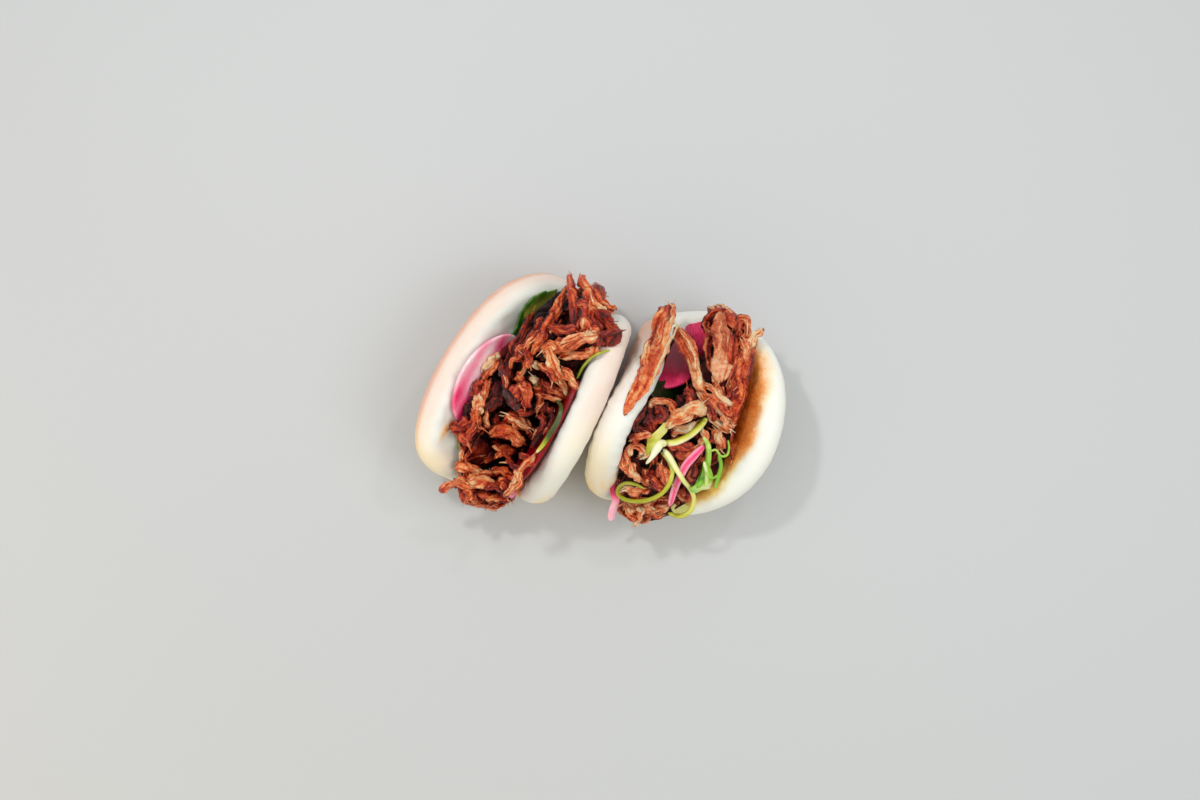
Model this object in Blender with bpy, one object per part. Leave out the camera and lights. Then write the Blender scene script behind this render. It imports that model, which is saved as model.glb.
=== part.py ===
"""Pair of folded steamed buns (bao) filled with pulled meat, onion, leaf and scallion.

Metres, +Z up. The two buns lean on each other; every filling piece rests on the one below.
"""
import bpy
import math
import numpy as np

for _o in list(bpy.data.objects):
    bpy.data.objects.remove(_o, do_unlink=True)

# ---------------------------------------------------------------- plan grid
# plan positions of the pieces are given on a grid of 0.4375 mm steps (at a height of 45 mm),
# seen from a point 700 mm over that height
PX = 0.4375e-3
ZREF = 0.045
CAMD = 0.70
MM = 0.001
GAP = 0.35


def unproj(px, py, z):
    s = PX * (CAMD + ZREF - z) / CAMD
    return np.stack([(px - 600) * s, (400 - py) * s, z + 0 * px], -1)


def proj(P):
    s = PX * (CAMD + ZREF - P[..., 2]) / CAMD
    return np.stack([600 + P[..., 0] / s, 400 - P[..., 1] / s], -1)


# ---------------------------------------------------------------- the folded buns
# p = distance across from the fold, z = height, both along the wall from fold to rim (mm)
LEFT = dict(x0=(489, 492), x1=(585, 290), q0=-3.8, q1=98.7, fold=9.0, zb=4.4, notch=(5.0, 2.0), bf=0.08,
            L=dict(p=(-40.8, 5.7, 11.3), z=(47.0, 0.0, -3.0), beta=33., h0=17., h1=20.),
            R=dict(p=(23.45, -0.4, -3.3), z=(70.0, 0.0, -3.0), beta=4., h0=13., h1=26.),
            m=dict(ll=5.2, lu=4.0, rl=2.2, ru=5.2), skew=(3.4, -4.6), t=13.2)
RIGHT = dict(x0=(640, 505), x1=(695, 308), q0=-7.1, q1=88.3, fold=-8.0, zb=4.4, notch=(4.0, 1.0), bf=-0.1,
             L=dict(p=(-20.6, 7.2, 8.0), z=(68.0, 0.0, -3.0), beta=6., h0=13., h1=26.),
             R=dict(p=(48.8, -3.6, -12.1), z=(45.0, 0.0, -3.0), beta=35., h0=18., h1=20.),
             m=dict(ll=2.25, lu=2.25, rl=2.2, ru=2.25), skew=(-1.4, 19.0), t=14.2)


def frame_of(B):
    a = np.array(B['x0'], float)
    b = np.array(B['x1'], float)
    A = np.array([(a[0] - 600) * PX, (400 - a[1]) * PX])
    C = np.array([(b[0] - 600) * PX, (400 - b[1]) * PX])
    d = (C - A) / np.linalg.norm(C - A)
    return A, d, np.array([d[1], -d[0]])


def section(B, a, b):
    """middle of the dough: a along the fold (-1..1), b across (-1 left rim, 0 fold, 1 right rim)"""
    a = np.asarray(a, float)
    b = np.asarray(b, float)
    p0 = B['fold'] + 0 * a
    out = []
    for side, sg in (('L', -1.), ('R', 1.)):
        W = B[side]
        pe = W['p'][0] + W['p'][1] * a + W['p'][2] * a * a
        ze = W['z'][0] + W['z'][1] * a + W['z'][2] * a * a
        be = np.radians(W['beta']) + 0 * a
        t = np.clip(sg * b, 0, 1.2)[..., None]
        P0 = np.stack([p0, 0 * a + B['zb']], -1)
        P1 = P0 + np.stack([sg * W['h0'] + 0 * a, 0 * a], -1)
        P3 = np.stack([pe, ze], -1)
        P2 = P3 - W['h1'] * np.stack([sg * np.sin(be), np.cos(be)], -1)
        out.append((1 - t) ** 3 * P0 + 3 * (1 - t) ** 2 * t * P1 + 3 * (1 - t) * t * t * P2 + t ** 3 * P3)
    C = np.where((b < 0)[..., None], out[0], out[1])
    qc = (B['q0'] + B['q1']) / 2
    lh = (B['q1'] - B['q0']) / 2
    lo = (1 - a) / 2
    up = (1 + a) / 2
    w = np.clip(1 - np.abs(b), 0, 1) ** 2
    q = qc + lh * a + (B['skew'][0] * lo + B['skew'][1] * up) * b
    q = q + B['notch'][0] * w * lo ** 2 - B['notch'][1] * w * up ** 2
    return np.concatenate([q[..., None], C], -1)


def rim(B, th):
    c, s = np.cos(th), np.sin(th)
    m = B['m']
    wu = 0.5 + 0.5 * np.tanh(c * 6)
    wr = 0.5 + 0.5 * np.tanh(s * 6)
    M = (m['ll'] * (1 - wu) + m['lu'] * wu) * (1 - wr) + (m['rl'] * (1 - wu) + m['ru'] * wu) * wr
    r = (np.abs(c) ** M + np.abs(s) ** M) ** (-1 / M)
    return r * c, r * s


def normal(B, a, b, e=1e-3):
    n = np.cross(section(B, a + e, b) - section(B, a - e, b), section(B, a, b + e) - section(B, a, b - e))
    return n / np.linalg.norm(n, axis=-1, keepdims=True)


def t_in(B, b):
    return B['t'] / 2 * (1 - 0.34 * np.exp(-((b - B['bf']) / 0.28) ** 2))


def t_out(B, b):
    return B['t'] / 2 * (1 - 0.16 * np.exp(-(b / 0.16) ** 2))


def world(B, v):
    A, d, n = frame_of(B)
    q, p, z = v[..., 0] * MM, v[..., 1] * MM, v[..., 2] * MM
    return np.stack([A[0] + d[0] * q + n[0] * p, A[1] + d[1] * q + n[1] * p, np.maximum(z, 0)], -1)


def lay(B, a, b, off):
    """local point at the height off (mm) over the inner face of the dough"""
    a = np.asarray(a, float)
    b = np.asarray(b, float)
    return section(B, a, b) + normal(B, a, b) * (t_in(B, b) + off)[..., None]


def skin(rings, first, last):
    """closed faces over a stack of equal rings with a point at each end"""
    V = np.concatenate([first] + rings + [last])
    n = len(rings[0])
    F = [(0, 1 + (i + 1) % n, 1 + i) for i in range(n)]
    for k in range(len(rings) - 1):
        o = 1 + k * n
        for i in range(n):
            j = (i + 1) % n
            F.append((o + i, o + j, o + n + j, o + n + i))
    e = 1 + (len(rings) - 1) * n
    c = len(V) - 1
    F += [(e + i, e + (i + 1) % n, c) for i in range(n)]
    return V, F


def slab(mid, hin, hout, ab, bb, centre, edge, ne, ni, gather=0.9):
    """sheet with a round rim: mid(a,b) and its normal, half thickness each way, outline (ab, bb) round centre"""
    n = len(ab)
    ca, cb = centre
    fine = np.linspace(0, 1, 121)
    P, _ = mid(ca + fine[:, None] * (ab - ca), cb + fine[:, None] * (bb - cb))
    cum = np.vstack([np.zeros(n), np.cumsum(np.linalg.norm(np.diff(P, axis=0), axis=-1), 0)])
    rows = []
    for k in range(ne + 1):
        f = math.pi / 2 * k / ne
        rho = np.array([np.interp(cum[-1, i] - edge * (1 - math.cos(f)), cum[:, i], fine) for i in range(n)])
        rows.append((rho, math.sin(f)))
    rin = rows[-1][0]
    for j in range(ni - 1, 0, -1):
        rows.append((rin * (j / ni) ** gather, 1.0))

    def ring(rho, s, h, sign):
        a = ca + rho * (ab - ca)
        b = cb + rho * (bb - cb)
        Q, N = mid(a, b)
        return Q + sign * N * (h(a, b) * s)[:, None]
    rings = [ring(r, s, hin, 1) for r, s in rows[1:]][::-1]
    rings += [ring(rows[0][0], 0, hin, 1)]
    rings += [ring(r, s, hout, -1) for r, s in rows[1:]]
    z = np.zeros(1)
    return skin(rings, ring(z, 1, lambda a, b: hin(a, b)[:1], 1)[:1], ring(z, 1, lambda a, b: hout(a, b)[:1], -1)[:1])


def bun(B, nth, ne, ni):
    th = (np.arange(nth) + 0.5) / nth * 2 * np.pi
    ab, bb = rim(B, th)
    V, F = slab(lambda a, b: (section(B, a, b), normal(B, a, b)), lambda a, b: t_in(B, b), lambda a, b: t_out(B, b),
                ab, bb, (0, 0), B['t'] / 2, ne, ni)
    return world(B, V), F


# ---------------------------------------------------------------- outlines and waves
def loop_of(pts, n):
    """smooth closed outline through a few points, n even steps (Catmull-Rom)"""
    P = np.array(pts, float)
    m = len(P)
    t = np.arange(n) / n * m
    i = t.astype(int)
    u = (t - i)[:, None]
    a, b, c, d = P[(i - 1) % m], P[i % m], P[(i + 1) % m], P[(i + 2) % m]
    return 0.5 * (2 * b + (c - a) * u + (2 * a - 5 * b + 4 * c - d) * u ** 2 + (3 * b - a - 3 * c + d) * u ** 3)


def path_of(pts, n):
    """smooth open path through a few points"""
    P = np.array(pts, float)
    P = np.vstack([2 * P[0] - P[1], P, 2 * P[-1] - P[-2]])
    m = len(P) - 3
    t = np.linspace(0, m - 1e-9, n)
    i = t.astype(int)
    u = (t - i)[:, None]
    a, b, c, d = P[i], P[i + 1], P[i + 2], P[i + 3]
    return 0.5 * (2 * b + (c - a) * u + (2 * a - 5 * b + 4 * c - d) * u ** 2 + (3 * b - a - 3 * c + d) * u ** 3)


def waves(x, y, seed, n=7, f0=1.0, f1=3.0):
    r = np.random.RandomState(seed)
    out = 0 * x
    for _ in range(n):
        f = r.uniform(f0, f1)
        g = r.uniform(0, 2 * np.pi)
        out = out + np.sin(f * (x * np.cos(g) + y * np.sin(g)) + r.uniform(0, 6.28))
    return out / math.sqrt(n / 2)


def step(x, a, b):
    t = np.clip((x - a) / (b - a), 0, 1)
    return t * t * (3 - 2 * t)


# ---------------------------------------------------------------- heaps of pulled meat
def heap(B, H, na, nl, nu):
    rings = []
    for k in range(na):
        s = (k + 0.5) / na
        a = H['a'][0] + (H['a'][1] - H['a'][0]) * s
        bl = np.interp(a, H['bl'][0], H['bl'][1])
        br = np.interp(a, H['br'][0], H['br'][1])
        b = bl + (br - bl) * np.linspace(0, 1, nl)
        low = lay(B, a + 0 * b, b, H['off'](a + 0 * b, b))
        u = np.arange(1, nu + 1) / (nu + 1)
        top = low[-1] + (low[0] - low[-1]) * u[:, None]
        cr = np.interp(a, H['crown'][0], H['crown'][1]) * (4 * u * (1 - u)) ** 0.6
        cr = cr + H['amp'] * waves(top[:, 0] / 9., top[:, 1] / 6., H['seed']) * np.minimum(1, 6 * u * (1 - u))
        for (ha, hu, sa, su, dep) in H['hollow']:
            cr = cr - dep * np.exp(-((a - ha) / sa) ** 2 - ((u - hu) / su) ** 2)
        top[:, 2] += cr
        r = np.vstack([low, top])
        e = 1.0
        for end, length in ((H['a'][0], H['end'][0]), (H['a'][1], H['end'][1])):
            e = min(e, math.sqrt(max(0.0, 1 - max(0.0, 1 - abs(a - end) / length) ** 2)))
        c = r.mean(0) + np.array([0, 0, 1.0])
        c = c + (np.array(H['to'][0]) if s < 0.5 else np.array(H['to'][1])) * (1 - e)
        rings.append(c + (r - c) * (0.16 + 0.84 * e))
    rings = [world(B, r) for r in rings]
    for r in rings:
        r[:, 2] = np.maximum(r[:, 2], 0.0008)
    V, F = skin(rings, rings[0].mean(0, keepdims=True), rings[-1].mean(0, keepdims=True))
    return V, [f[::-1] for f in F]


def slope(b):
    return 6.0 * np.clip(0.93 - b, 0, 0.5) * step(b, 0.2, 0.55)


def off_left(a, b):
    o = 0.7 + (LW + 0.3) * step(-b, 0.14, 0.32)
    return o + 2.4 * step(b, 0.14, 0.27) + slope(b)


def off_right(a, b):
    return 0.7 + 0.4 * step(np.abs(b), 0.1, 0.4)


LW = 3.6
HL = dict(a=(-1.16, 1.13), bl=((-1.16, -0.95, -0.8, -0.5, 0.2, 0.7, 0.95, 1.13), (-.60, -.66, -.68, -.80, -.76, -.72, -.56, -.40)),
          br=((-1.16, -0.9, -0.7, -0.3, 0.3, 0.8, 1.13), (.20, .36, .58, .80, .88, .95, .80)),
          crown=((-1.16, -0.9, -0.6, -0.2, 0.3, 0.8, 1.13), (9, 10, 7, 8, 10, 15, 14)), amp=1.9, seed=11,
          hollow=[(-0.72, 0.72, 0.13, 0.16, 7.0), (0.72, 0.55, 0.10, 0.13, 6.0), (-0.2, 0.12, 0.2, 0.12, 4.0)],
          off=off_left, end=(0.13, 0.16), to=((0, -7, 0), (0, 3, 5)))
HR = dict(a=(-1.08, 1.03), bl=((-1.08, -0.8, -0.4, 0.2, 0.6, 1.03), (-.30, -.52, -.78, -.84, -.78, -.36)),
          br=((-1.08, -0.8, -0.4, 0.3, 0.7, 1.03), (.42, .58, .73, .76, .80, .52)),
          crown=((-1.08, -0.9, -0.6, -0.2, 0.3, 0.8, 1.03), (8, 9, 8, 7, 8, 12, 11)), amp=1.7, seed=5,
          hollow=[(0.42, 0.62, 0.26, 0.20, 11.0), (0.35, 0.80, 0.2, 0.1, 5.0), (-0.45, 0.25, 0.3, 0.2, 4.0)],
          off=off_right, end=(0.2, 0.16), to=((0, -2, 1), (0, 8, 3)))


# ---------------------------------------------------------------- height of what is already laid, on the plan grid
GX0, GY0, GW, GH = 390, 250, 420, 300


class Ground:
    def __init__(self):
        self.z = np.zeros((GH * 2, GW * 2))

    def add(self, V, F):
        for f in F:
            q = V[list(f)]
            if len(f) == 3:
                q = np.vstack([q, q[2:]])
            n = np.cross(q[2] - q[0], q[3] - q[1])
            if n[2] <= 0:
                continue
            P = proj(q)
            k = int(max(2, math.ceil(max(np.ptp(P[:, 0]), np.ptp(P[:, 1])) * 2.6))) + 1
            u, v = np.meshgrid(np.linspace(0, 1, k), np.linspace(0, 1, k))
            w = np.stack([(1 - u) * (1 - v), u * (1 - v), u * v, (1 - u) * v], -1).reshape(-1, 4)
            S = w @ q
            p = proj(S)
            ix = np.clip(((p[:, 0] - GX0) * 2).astype(int), 0, GW * 2 - 1)
            iy = np.clip(((p[:, 1] - GY0) * 2).astype(int), 0, GH * 2 - 1)
            np.maximum.at(self.z, (iy, ix), S[:, 2])

    def at(self, px, py, r):
        """highest point within r steps"""
        best = 0 * px
        k = max(1, int(r * 2))
        for dx in range(-k, k + 1):
            for dy in range(-k, k + 1):
                if dx * dx + dy * dy <= k * k + 1:
                    ix = np.clip(((px - GX0) * 2).astype(int) + dx, 0, GW * 2 - 1)
                    iy = np.clip(((py - GY0) * 2).astype(int) + dy, 0, GH * 2 - 1)
                    best = np.maximum(best, self.z[iy, ix])
        return best


def settle(ground, V, F):
    """lower a piece till it is just clear of what carries it"""
    low = 1.0
    for f in F:
        q = V[list(f)]
        if len(f) == 3:
            q = np.vstack([q, q[2:]])
        u, v = np.meshgrid(np.linspace(0, 1, 5), np.linspace(0, 1, 5))
        S = np.stack([(1 - u) * (1 - v), u * (1 - v), u * v, (1 - u) * v], -1).reshape(-1, 4) @ q
        p = proj(S)
        low = min(low, float((S[:, 2] - ground.at(p[:, 0], p[:, 1], 0.5)).min()))
    V = V.copy()
    V[:, 2] -= low - GAP * MM
    return V, F


def strand(ground, pts, wid, thk, n, m=8, soft=6, zs=None, lift=0.0):
    """strip along a plan path, lying on the ground: wid and thk in mm along it"""
    C = path_of(pts, n)
    s = np.linspace(0, 1, n)
    w = np.interp(s, np.linspace(0, 1, len(wid)), wid)
    t = np.interp(s, np.linspace(0, 1, len(thk)), thk)
    if zs is None:
        F = path_of(pts, 6 * n)
        g = ground.at(F[:, 0], F[:, 1], max(w) / 2 / 0.4375 + 1)
        g = g.reshape(n, 6).max(1)
        z = g.copy()
        for _ in range(soft):
            e = np.concatenate([z[:1], z, z[-1:]])
            z = np.maximum(g, 0.25 * e[:-2] + 0.5 * e[1:-1] + 0.25 * e[2:])
        z = z + (GAP + lift) * MM + t / 2 * MM
    else:
        z = np.interp(s, np.linspace(0, 1, len(zs)), zs) * MM
    W = unproj(C[:, 0], C[:, 1], z)
    T = np.gradient(W, axis=0)
    T = T / np.linalg.norm(T, axis=1, keepdims=True)
    S = np.cross(T, np.array([0, 0, 1.0]))
    S = S / np.linalg.norm(S, axis=1, keepdims=True)
    N = np.cross(S, T)
    rings = []
    for k in range(n):
        e = math.sqrt(max(0.0, 1 - abs(2 * (k + 0.5) / n - 1) ** 12))
        e = max(e, 0.35)
        f = np.arange(m) / m * 2 * np.pi
        c, q = np.cos(f), np.sin(f)
        rings.append(W[k] + (np.sign(c) * np.abs(c) ** 0.8 * w[k] / 2 * MM * e)[:, None] * S[k]
                     + (np.sign(q) * np.abs(q) ** 0.8 * t[k] / 2 * MM * e)[:, None] * N[k])
    V, F = skin(rings, rings[0].mean(0, keepdims=True), rings[-1].mean(0, keepdims=True))
    if volume(V, F) < 0:
        F = [f[::-1] for f in F]
    return settle(ground, V, F) if zs is None else (V, F)


def volume(V, F):
    s = 0.0
    for f in F:
        for i in range(1, len(f) - 1):
            s += np.dot(V[f[0]], np.cross(V[f[i]], V[f[i + 1]]))
    return s / 6


def wall_sheet(B, pts, centre, thk, off, n, ne=2, ni=2):
    """thin layer along the inner face of the dough"""
    o = loop_of(pts, n)
    V, F = slab(lambda a, b: (lay(B, a, b, off(a, b) + thk / 2), normal(B, a, b)),
                lambda a, b: thk / 2 + 0 * a, lambda a, b: thk / 2 + 0 * a, o[:, 0], o[:, 1], centre, thk / 2, ne, ni)
    V = world(B, V)
    if volume(V, F) < 0:
        F = [f[::-1] for f in F]
    return V, F


def draped(ground, pts, thk, n, cup=0.0, ne=2, ni=2, tilt=(0, 0)):
    """thin layer lying over the heap: plan outline, mm thick"""
    o = loop_of(pts, n)
    c = o.mean(0)
    r = np.hypot(*(o - c).T).max()
    rr = np.linspace(0, 1, 9)
    gx = (c[0] + rr[:, None] * (o[:, 0] - c[0])).ravel()
    gy = (c[1] + rr[:, None] * (o[:, 1] - c[1])).ravel()
    g = ground.at(gx, gy, 1.5)
    A = np.stack([np.ones_like(gx), (gx - c[0]) / r, (gy - c[1]) / r], 1)
    k, *_ = np.linalg.lstsq(A, g, rcond=None)
    k[1] += tilt[0] * MM
    k[2] += tilt[1] * MM

    def base(x, y):
        u, v = (x - c[0]) / r, (y - c[1]) / r
        return k[0] + k[1] * u + k[2] * v + cup * MM * (u * u + v * v)
    k[0] += (g - base(gx, gy)).max() + (GAP + thk / 2) * MM

    def mid(x, y):
        P = unproj(x, y, base(x, y))
        e = 0.5
        n_ = np.cross(unproj(x + e, y, base(x + e, y)) - P, unproj(x, y - e, base(x, y - e)) - P)
        return P, n_ / np.linalg.norm(n_, axis=-1, keepdims=True)
    h = lambda a, b: thk / 2 * MM + 0 * a
    V, F = slab(mid, h, h, o[:, 0], o[:, 1], c, thk / 2 * MM, ne, ni)
    if volume(V, F) < 0:
        F = [f[::-1] for f in F]
    return settle(ground, V, F)


# ---------------------------------------------------------------- build
PIECES = []
G = Ground()


def put(name, VF, look):
    G.add(*VF)
    PIECES.append((name, VF[0], VF[1], look))


DOUGH = ((0.86, 0.84, 0.78), 0.55)
MEAT = ((0.34, 0.10, 0.04), 0.38)
LEAF = ((0.06, 0.14, 0.02), 0.40)
PINK = ((0.80, 0.20, 0.33), 0.35)
CRIMSON = ((0.28, 0.01, 0.05), 0.35)
GREEN = ((0.52, 0.62, 0.10), 0.40)

put('bun_left', bun(LEFT, 54, 4, 6), DOUGH)
put('bun_right', bun(RIGHT, 54, 4, 6), DOUGH)
put('leaf_left', wall_sheet(LEFT, [(0.94, -0.52), (0.90, -0.72), (0.80, -0.835), (0.68, -0.85), (0.56, -0.825), (0.39, -0.75),
                                   (0.0, -0.70), (-0.35, -0.70), (-0.6, -0.75), (-0.73, -0.69), (-0.80, -0.55), (-0.78, -0.40),
                                   (-0.4, -0.34), (0.1, -0.34), (0.6, -0.34), (0.88, -0.36)],
                            (0.05, -0.52), 0.9, lambda a, b: GAP + 0.2 + 0 * a, 36), LEAF)
put('onion_left_petal', wall_sheet(LEFT, [(0.33, -0.82), (0.25, -0.90), (0.10, -0.97), (-0.10, -0.99), (-0.30, -0.94), (-0.44, -0.86),
                                          (-0.50, -0.74), (-0.40, -0.62), (-0.1, -0.56), (0.15, -0.60), (0.31, -0.70)],
                                   (-0.06, -0.78), 1.9, lambda a, b: 2 * GAP + 1.3 + 0 * a, 28), PINK)
put('onion_left_slice', wall_sheet(LEFT, [(0.30, 0.90), (0.22, 0.72), (-0.2, 0.60), (-0.55, 0.48), (-0.84, 0.33), (-0.97, 0.30),
                                          (-0.96, 0.36), (-0.80, 0.50), (-0.60, 0.70), (-0.3, 0.84), (0.05, 0.93), (0.22, 0.95)],
                                   (-0.3, 0.70), 1.8, lambda a, b: GAP + 0.1 + slope(b), 28), CRIMSON)
put('meat_left', heap(LEFT, HL, 22, 12, 15), MEAT)
put('meat_right', heap(RIGHT, HR, 21, 12, 15), MEAT)
put('leaf_right', draped(G, [(652, 384), (665, 381), (678, 385), (680, 396), (672, 403), (657, 401)], 0.9, 16), LEAF)
put('onion_right_petal', draped(G, [(659, 385), (662, 376), (670, 352), (678, 344), (686, 352), (691, 370), (684, 381), (668, 387)], 1.8, 20,
                                tilt=(0, 0)), CRIMSON)
put('onion_right_back', draped(G, [(689, 331), (697, 325), (707, 325), (708, 344), (699, 354), (692, 345)], 1.6, 16), CRIMSON)
put('meat_strip_rim', strand(G, [(671, 304), (664, 325), (655, 345), (648, 362), (645, 378), (638, 395), (630, 410), (626, 418)],
                             (6.0, 9.0, 8.0, 6.0, 5.0, 4.0), (4.0, 6.0, 5.0, 4.5, 3.5, 3.0), 16, 8, soft=14), MEAT)
put('onion_right_strip', strand(G, [(704, 446), (695, 456), (686, 466), (680, 478), (675, 490), (670, 505)],
                                (2.6, 3.0, 3.0, 2.4), (1.2, 1.4, 1.4, 1.2), 12, 6, soft=8), PINK)
put('scallion_loop', strand(G, [(645, 490), (632, 484), (622, 485), (617, 492), (622, 500), (635, 503), (650, 501), (662, 494), (670, 482),
                                (673, 470), (668, 458), (658, 451)], (1.9, 2.2, 2.2, 2.2, 2.0), (1.2, 1.4, 1.4, 1.2), 26, 6, soft=20), GREEN)
put('scallion_arm', strand(G, [(707, 417), (695, 428), (680, 440), (664, 447), (655, 445)], (2.0, 2.6, 2.6, 2.2), (1.2, 1.4, 1.4, 1.2), 12, 6, soft=10), GREEN)
put('scallion_leafy', strand(G, [(667, 419), (662, 432), (654, 441), (650, 452), (647, 464)], (1.4, 4.6, 5.5, 4.0, 2.0), (1.2, 1.4, 1.4, 1.2), 12, 6, soft=10), GREEN)
put('scallion_long', strand(G, [(660, 447), (672, 460), (682, 475), (692, 489), (695, 502), (690, 513), (680, 517), (668, 513)],
                            (2.6, 2.6, 2.2, 2.0), (1.2, 1.4, 1.4, 1.2), 16, 6, soft=14), GREEN)
put('scallion_right', strand(G, [(703, 436), (709, 447), (709, 460), (704, 475), (697, 490)], (1.6, 2.8, 3.6, 5.2, 3.6), (1.2, 1.4, 1.4, 1.2), 12, 6, soft=10), GREEN)
put('scallion_left_top', strand(G, [(612, 348), (600, 353), (590, 360), (582, 370), (577, 381)], (1.0, 1.4, 1.4, 1.0), (1.0, 1.1, 1.1, 1.0), 10, 6, soft=10), GREEN)
put('scallion_left_low', strand(G, [(556, 399), (562, 410), (556, 430), (546, 447), (535, 455)], (1.4, 2.4, 2.6, 1.8), (1.1, 1.2, 1.2, 1.1), 12, 6, soft=10), GREEN)

# origin at the middle of the underside
ALL = np.concatenate([p[1] for p in PIECES])
SHIFT = np.array([(ALL[:, 0].min() + ALL[:, 0].max()) / 2, (ALL[:, 1].min() + ALL[:, 1].max()) / 2, ALL[:, 2].min()])

# ---------------------------------------------------------------- objects
for name, V, F, (colour, rough) in PIECES:
    me = bpy.data.meshes.new(name)
    me.from_pydata([tuple(float(c) for c in v) for v in (V - SHIFT)], [], [tuple(int(i) for i in f) for f in F])
    me.update()
    for poly in me.polygons:
        poly.use_smooth = True
    ob = bpy.data.objects.new(name, me)
    bpy.context.scene.collection.objects.link(ob)
    mat = bpy.data.materials.new(name + '_mat')
    mat.use_nodes = True
    b = mat.node_tree.nodes.get('Principled BSDF')
    b.inputs['Base Color'].default_value = (*colour, 1.0)
    b.inputs['Roughness'].default_value = rough
    me.materials.append(mat)
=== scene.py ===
import math

import bpy
import numpy as np
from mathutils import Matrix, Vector

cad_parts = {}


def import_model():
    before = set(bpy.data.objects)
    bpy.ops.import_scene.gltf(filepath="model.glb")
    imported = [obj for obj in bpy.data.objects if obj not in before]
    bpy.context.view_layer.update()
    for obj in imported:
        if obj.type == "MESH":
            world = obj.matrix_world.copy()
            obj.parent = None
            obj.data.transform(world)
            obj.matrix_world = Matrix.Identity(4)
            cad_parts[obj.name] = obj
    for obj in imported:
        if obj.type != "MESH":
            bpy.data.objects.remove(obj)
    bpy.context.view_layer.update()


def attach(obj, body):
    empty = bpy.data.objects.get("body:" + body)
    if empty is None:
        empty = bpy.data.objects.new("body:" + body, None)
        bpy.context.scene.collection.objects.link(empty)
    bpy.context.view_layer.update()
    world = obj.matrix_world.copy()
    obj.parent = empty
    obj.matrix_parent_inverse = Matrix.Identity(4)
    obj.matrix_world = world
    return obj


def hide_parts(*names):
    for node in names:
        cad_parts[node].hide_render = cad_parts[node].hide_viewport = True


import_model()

# ---------------------------------------------------------------- plan grid
# plan positions of the pieces are given on a grid of 0.4375 mm steps (at a height of 45 mm),
# seen from a point 700 mm over that height
PX = 0.4375e-3
ZREF = 0.045
CAMD = 0.70
MM = 0.001
GAP = 0.35


def unproj(px, py, z):
    s = PX * (CAMD + ZREF - z) / CAMD
    return np.stack([(px - 600) * s, (400 - py) * s, z + 0 * px], -1)


def proj(P):
    s = PX * (CAMD + ZREF - P[..., 2]) / CAMD
    return np.stack([600 + P[..., 0] / s, 400 - P[..., 1] / s], -1)


# ---------------------------------------------------------------- the folded buns
# p = distance across from the fold, z = height, both along the wall from fold to rim (mm)
LEFT = dict(x0=(489, 492), x1=(585, 290), q0=-3.8, q1=98.7, fold=9.0, zb=4.4, notch=(5.0, 2.0), bf=0.08,
            L=dict(p=(-40.8, 5.7, 11.3), z=(47.0, 0.0, -3.0), beta=33., h0=17., h1=20.),
            R=dict(p=(23.45, -0.4, -3.3), z=(70.0, 0.0, -3.0), beta=4., h0=13., h1=26.),
            m=dict(ll=5.2, lu=4.0, rl=2.2, ru=5.2), skew=(3.4, -4.6), t=13.2)
RIGHT = dict(x0=(640, 505), x1=(695, 308), q0=-7.1, q1=88.3, fold=-8.0, zb=4.4, notch=(4.0, 1.0), bf=-0.1,
             L=dict(p=(-20.6, 7.2, 8.0), z=(68.0, 0.0, -3.0), beta=6., h0=13., h1=26.),
             R=dict(p=(48.8, -3.6, -12.1), z=(45.0, 0.0, -3.0), beta=35., h0=18., h1=20.),
             m=dict(ll=2.25, lu=2.25, rl=2.2, ru=2.25), skew=(-1.4, 19.0), t=14.2)


def frame_of(B):
    a = np.array(B['x0'], float)
    b = np.array(B['x1'], float)
    A = np.array([(a[0] - 600) * PX, (400 - a[1]) * PX])
    C = np.array([(b[0] - 600) * PX, (400 - b[1]) * PX])
    d = (C - A) / np.linalg.norm(C - A)
    return A, d, np.array([d[1], -d[0]])


def section(B, a, b):
    """middle of the dough: a along the fold (-1..1), b across (-1 left rim, 0 fold, 1 right rim)"""
    a = np.asarray(a, float)
    b = np.asarray(b, float)
    p0 = B['fold'] + 0 * a
    out = []
    for side, sg in (('L', -1.), ('R', 1.)):
        W = B[side]
        pe = W['p'][0] + W['p'][1] * a + W['p'][2] * a * a
        ze = W['z'][0] + W['z'][1] * a + W['z'][2] * a * a
        be = np.radians(W['beta']) + 0 * a
        t = np.clip(sg * b, 0, 1.2)[..., None]
        P0 = np.stack([p0, 0 * a + B['zb']], -1)
        P1 = P0 + np.stack([sg * W['h0'] + 0 * a, 0 * a], -1)
        P3 = np.stack([pe, ze], -1)
        P2 = P3 - W['h1'] * np.stack([sg * np.sin(be), np.cos(be)], -1)
        out.append((1 - t) ** 3 * P0 + 3 * (1 - t) ** 2 * t * P1 + 3 * (1 - t) * t * t * P2 + t ** 3 * P3)
    C = np.where((b < 0)[..., None], out[0], out[1])
    qc = (B['q0'] + B['q1']) / 2
    lh = (B['q1'] - B['q0']) / 2
    lo = (1 - a) / 2
    up = (1 + a) / 2
    w = np.clip(1 - np.abs(b), 0, 1) ** 2
    q = qc + lh * a + (B['skew'][0] * lo + B['skew'][1] * up) * b
    q = q + B['notch'][0] * w * lo ** 2 - B['notch'][1] * w * up ** 2
    return np.concatenate([q[..., None], C], -1)


def rim(B, th):
    c, s = np.cos(th), np.sin(th)
    m = B['m']
    wu = 0.5 + 0.5 * np.tanh(c * 6)
    wr = 0.5 + 0.5 * np.tanh(s * 6)
    M = (m['ll'] * (1 - wu) + m['lu'] * wu) * (1 - wr) + (m['rl'] * (1 - wu) + m['ru'] * wu) * wr
    r = (np.abs(c) ** M + np.abs(s) ** M) ** (-1 / M)
    return r * c, r * s


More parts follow.
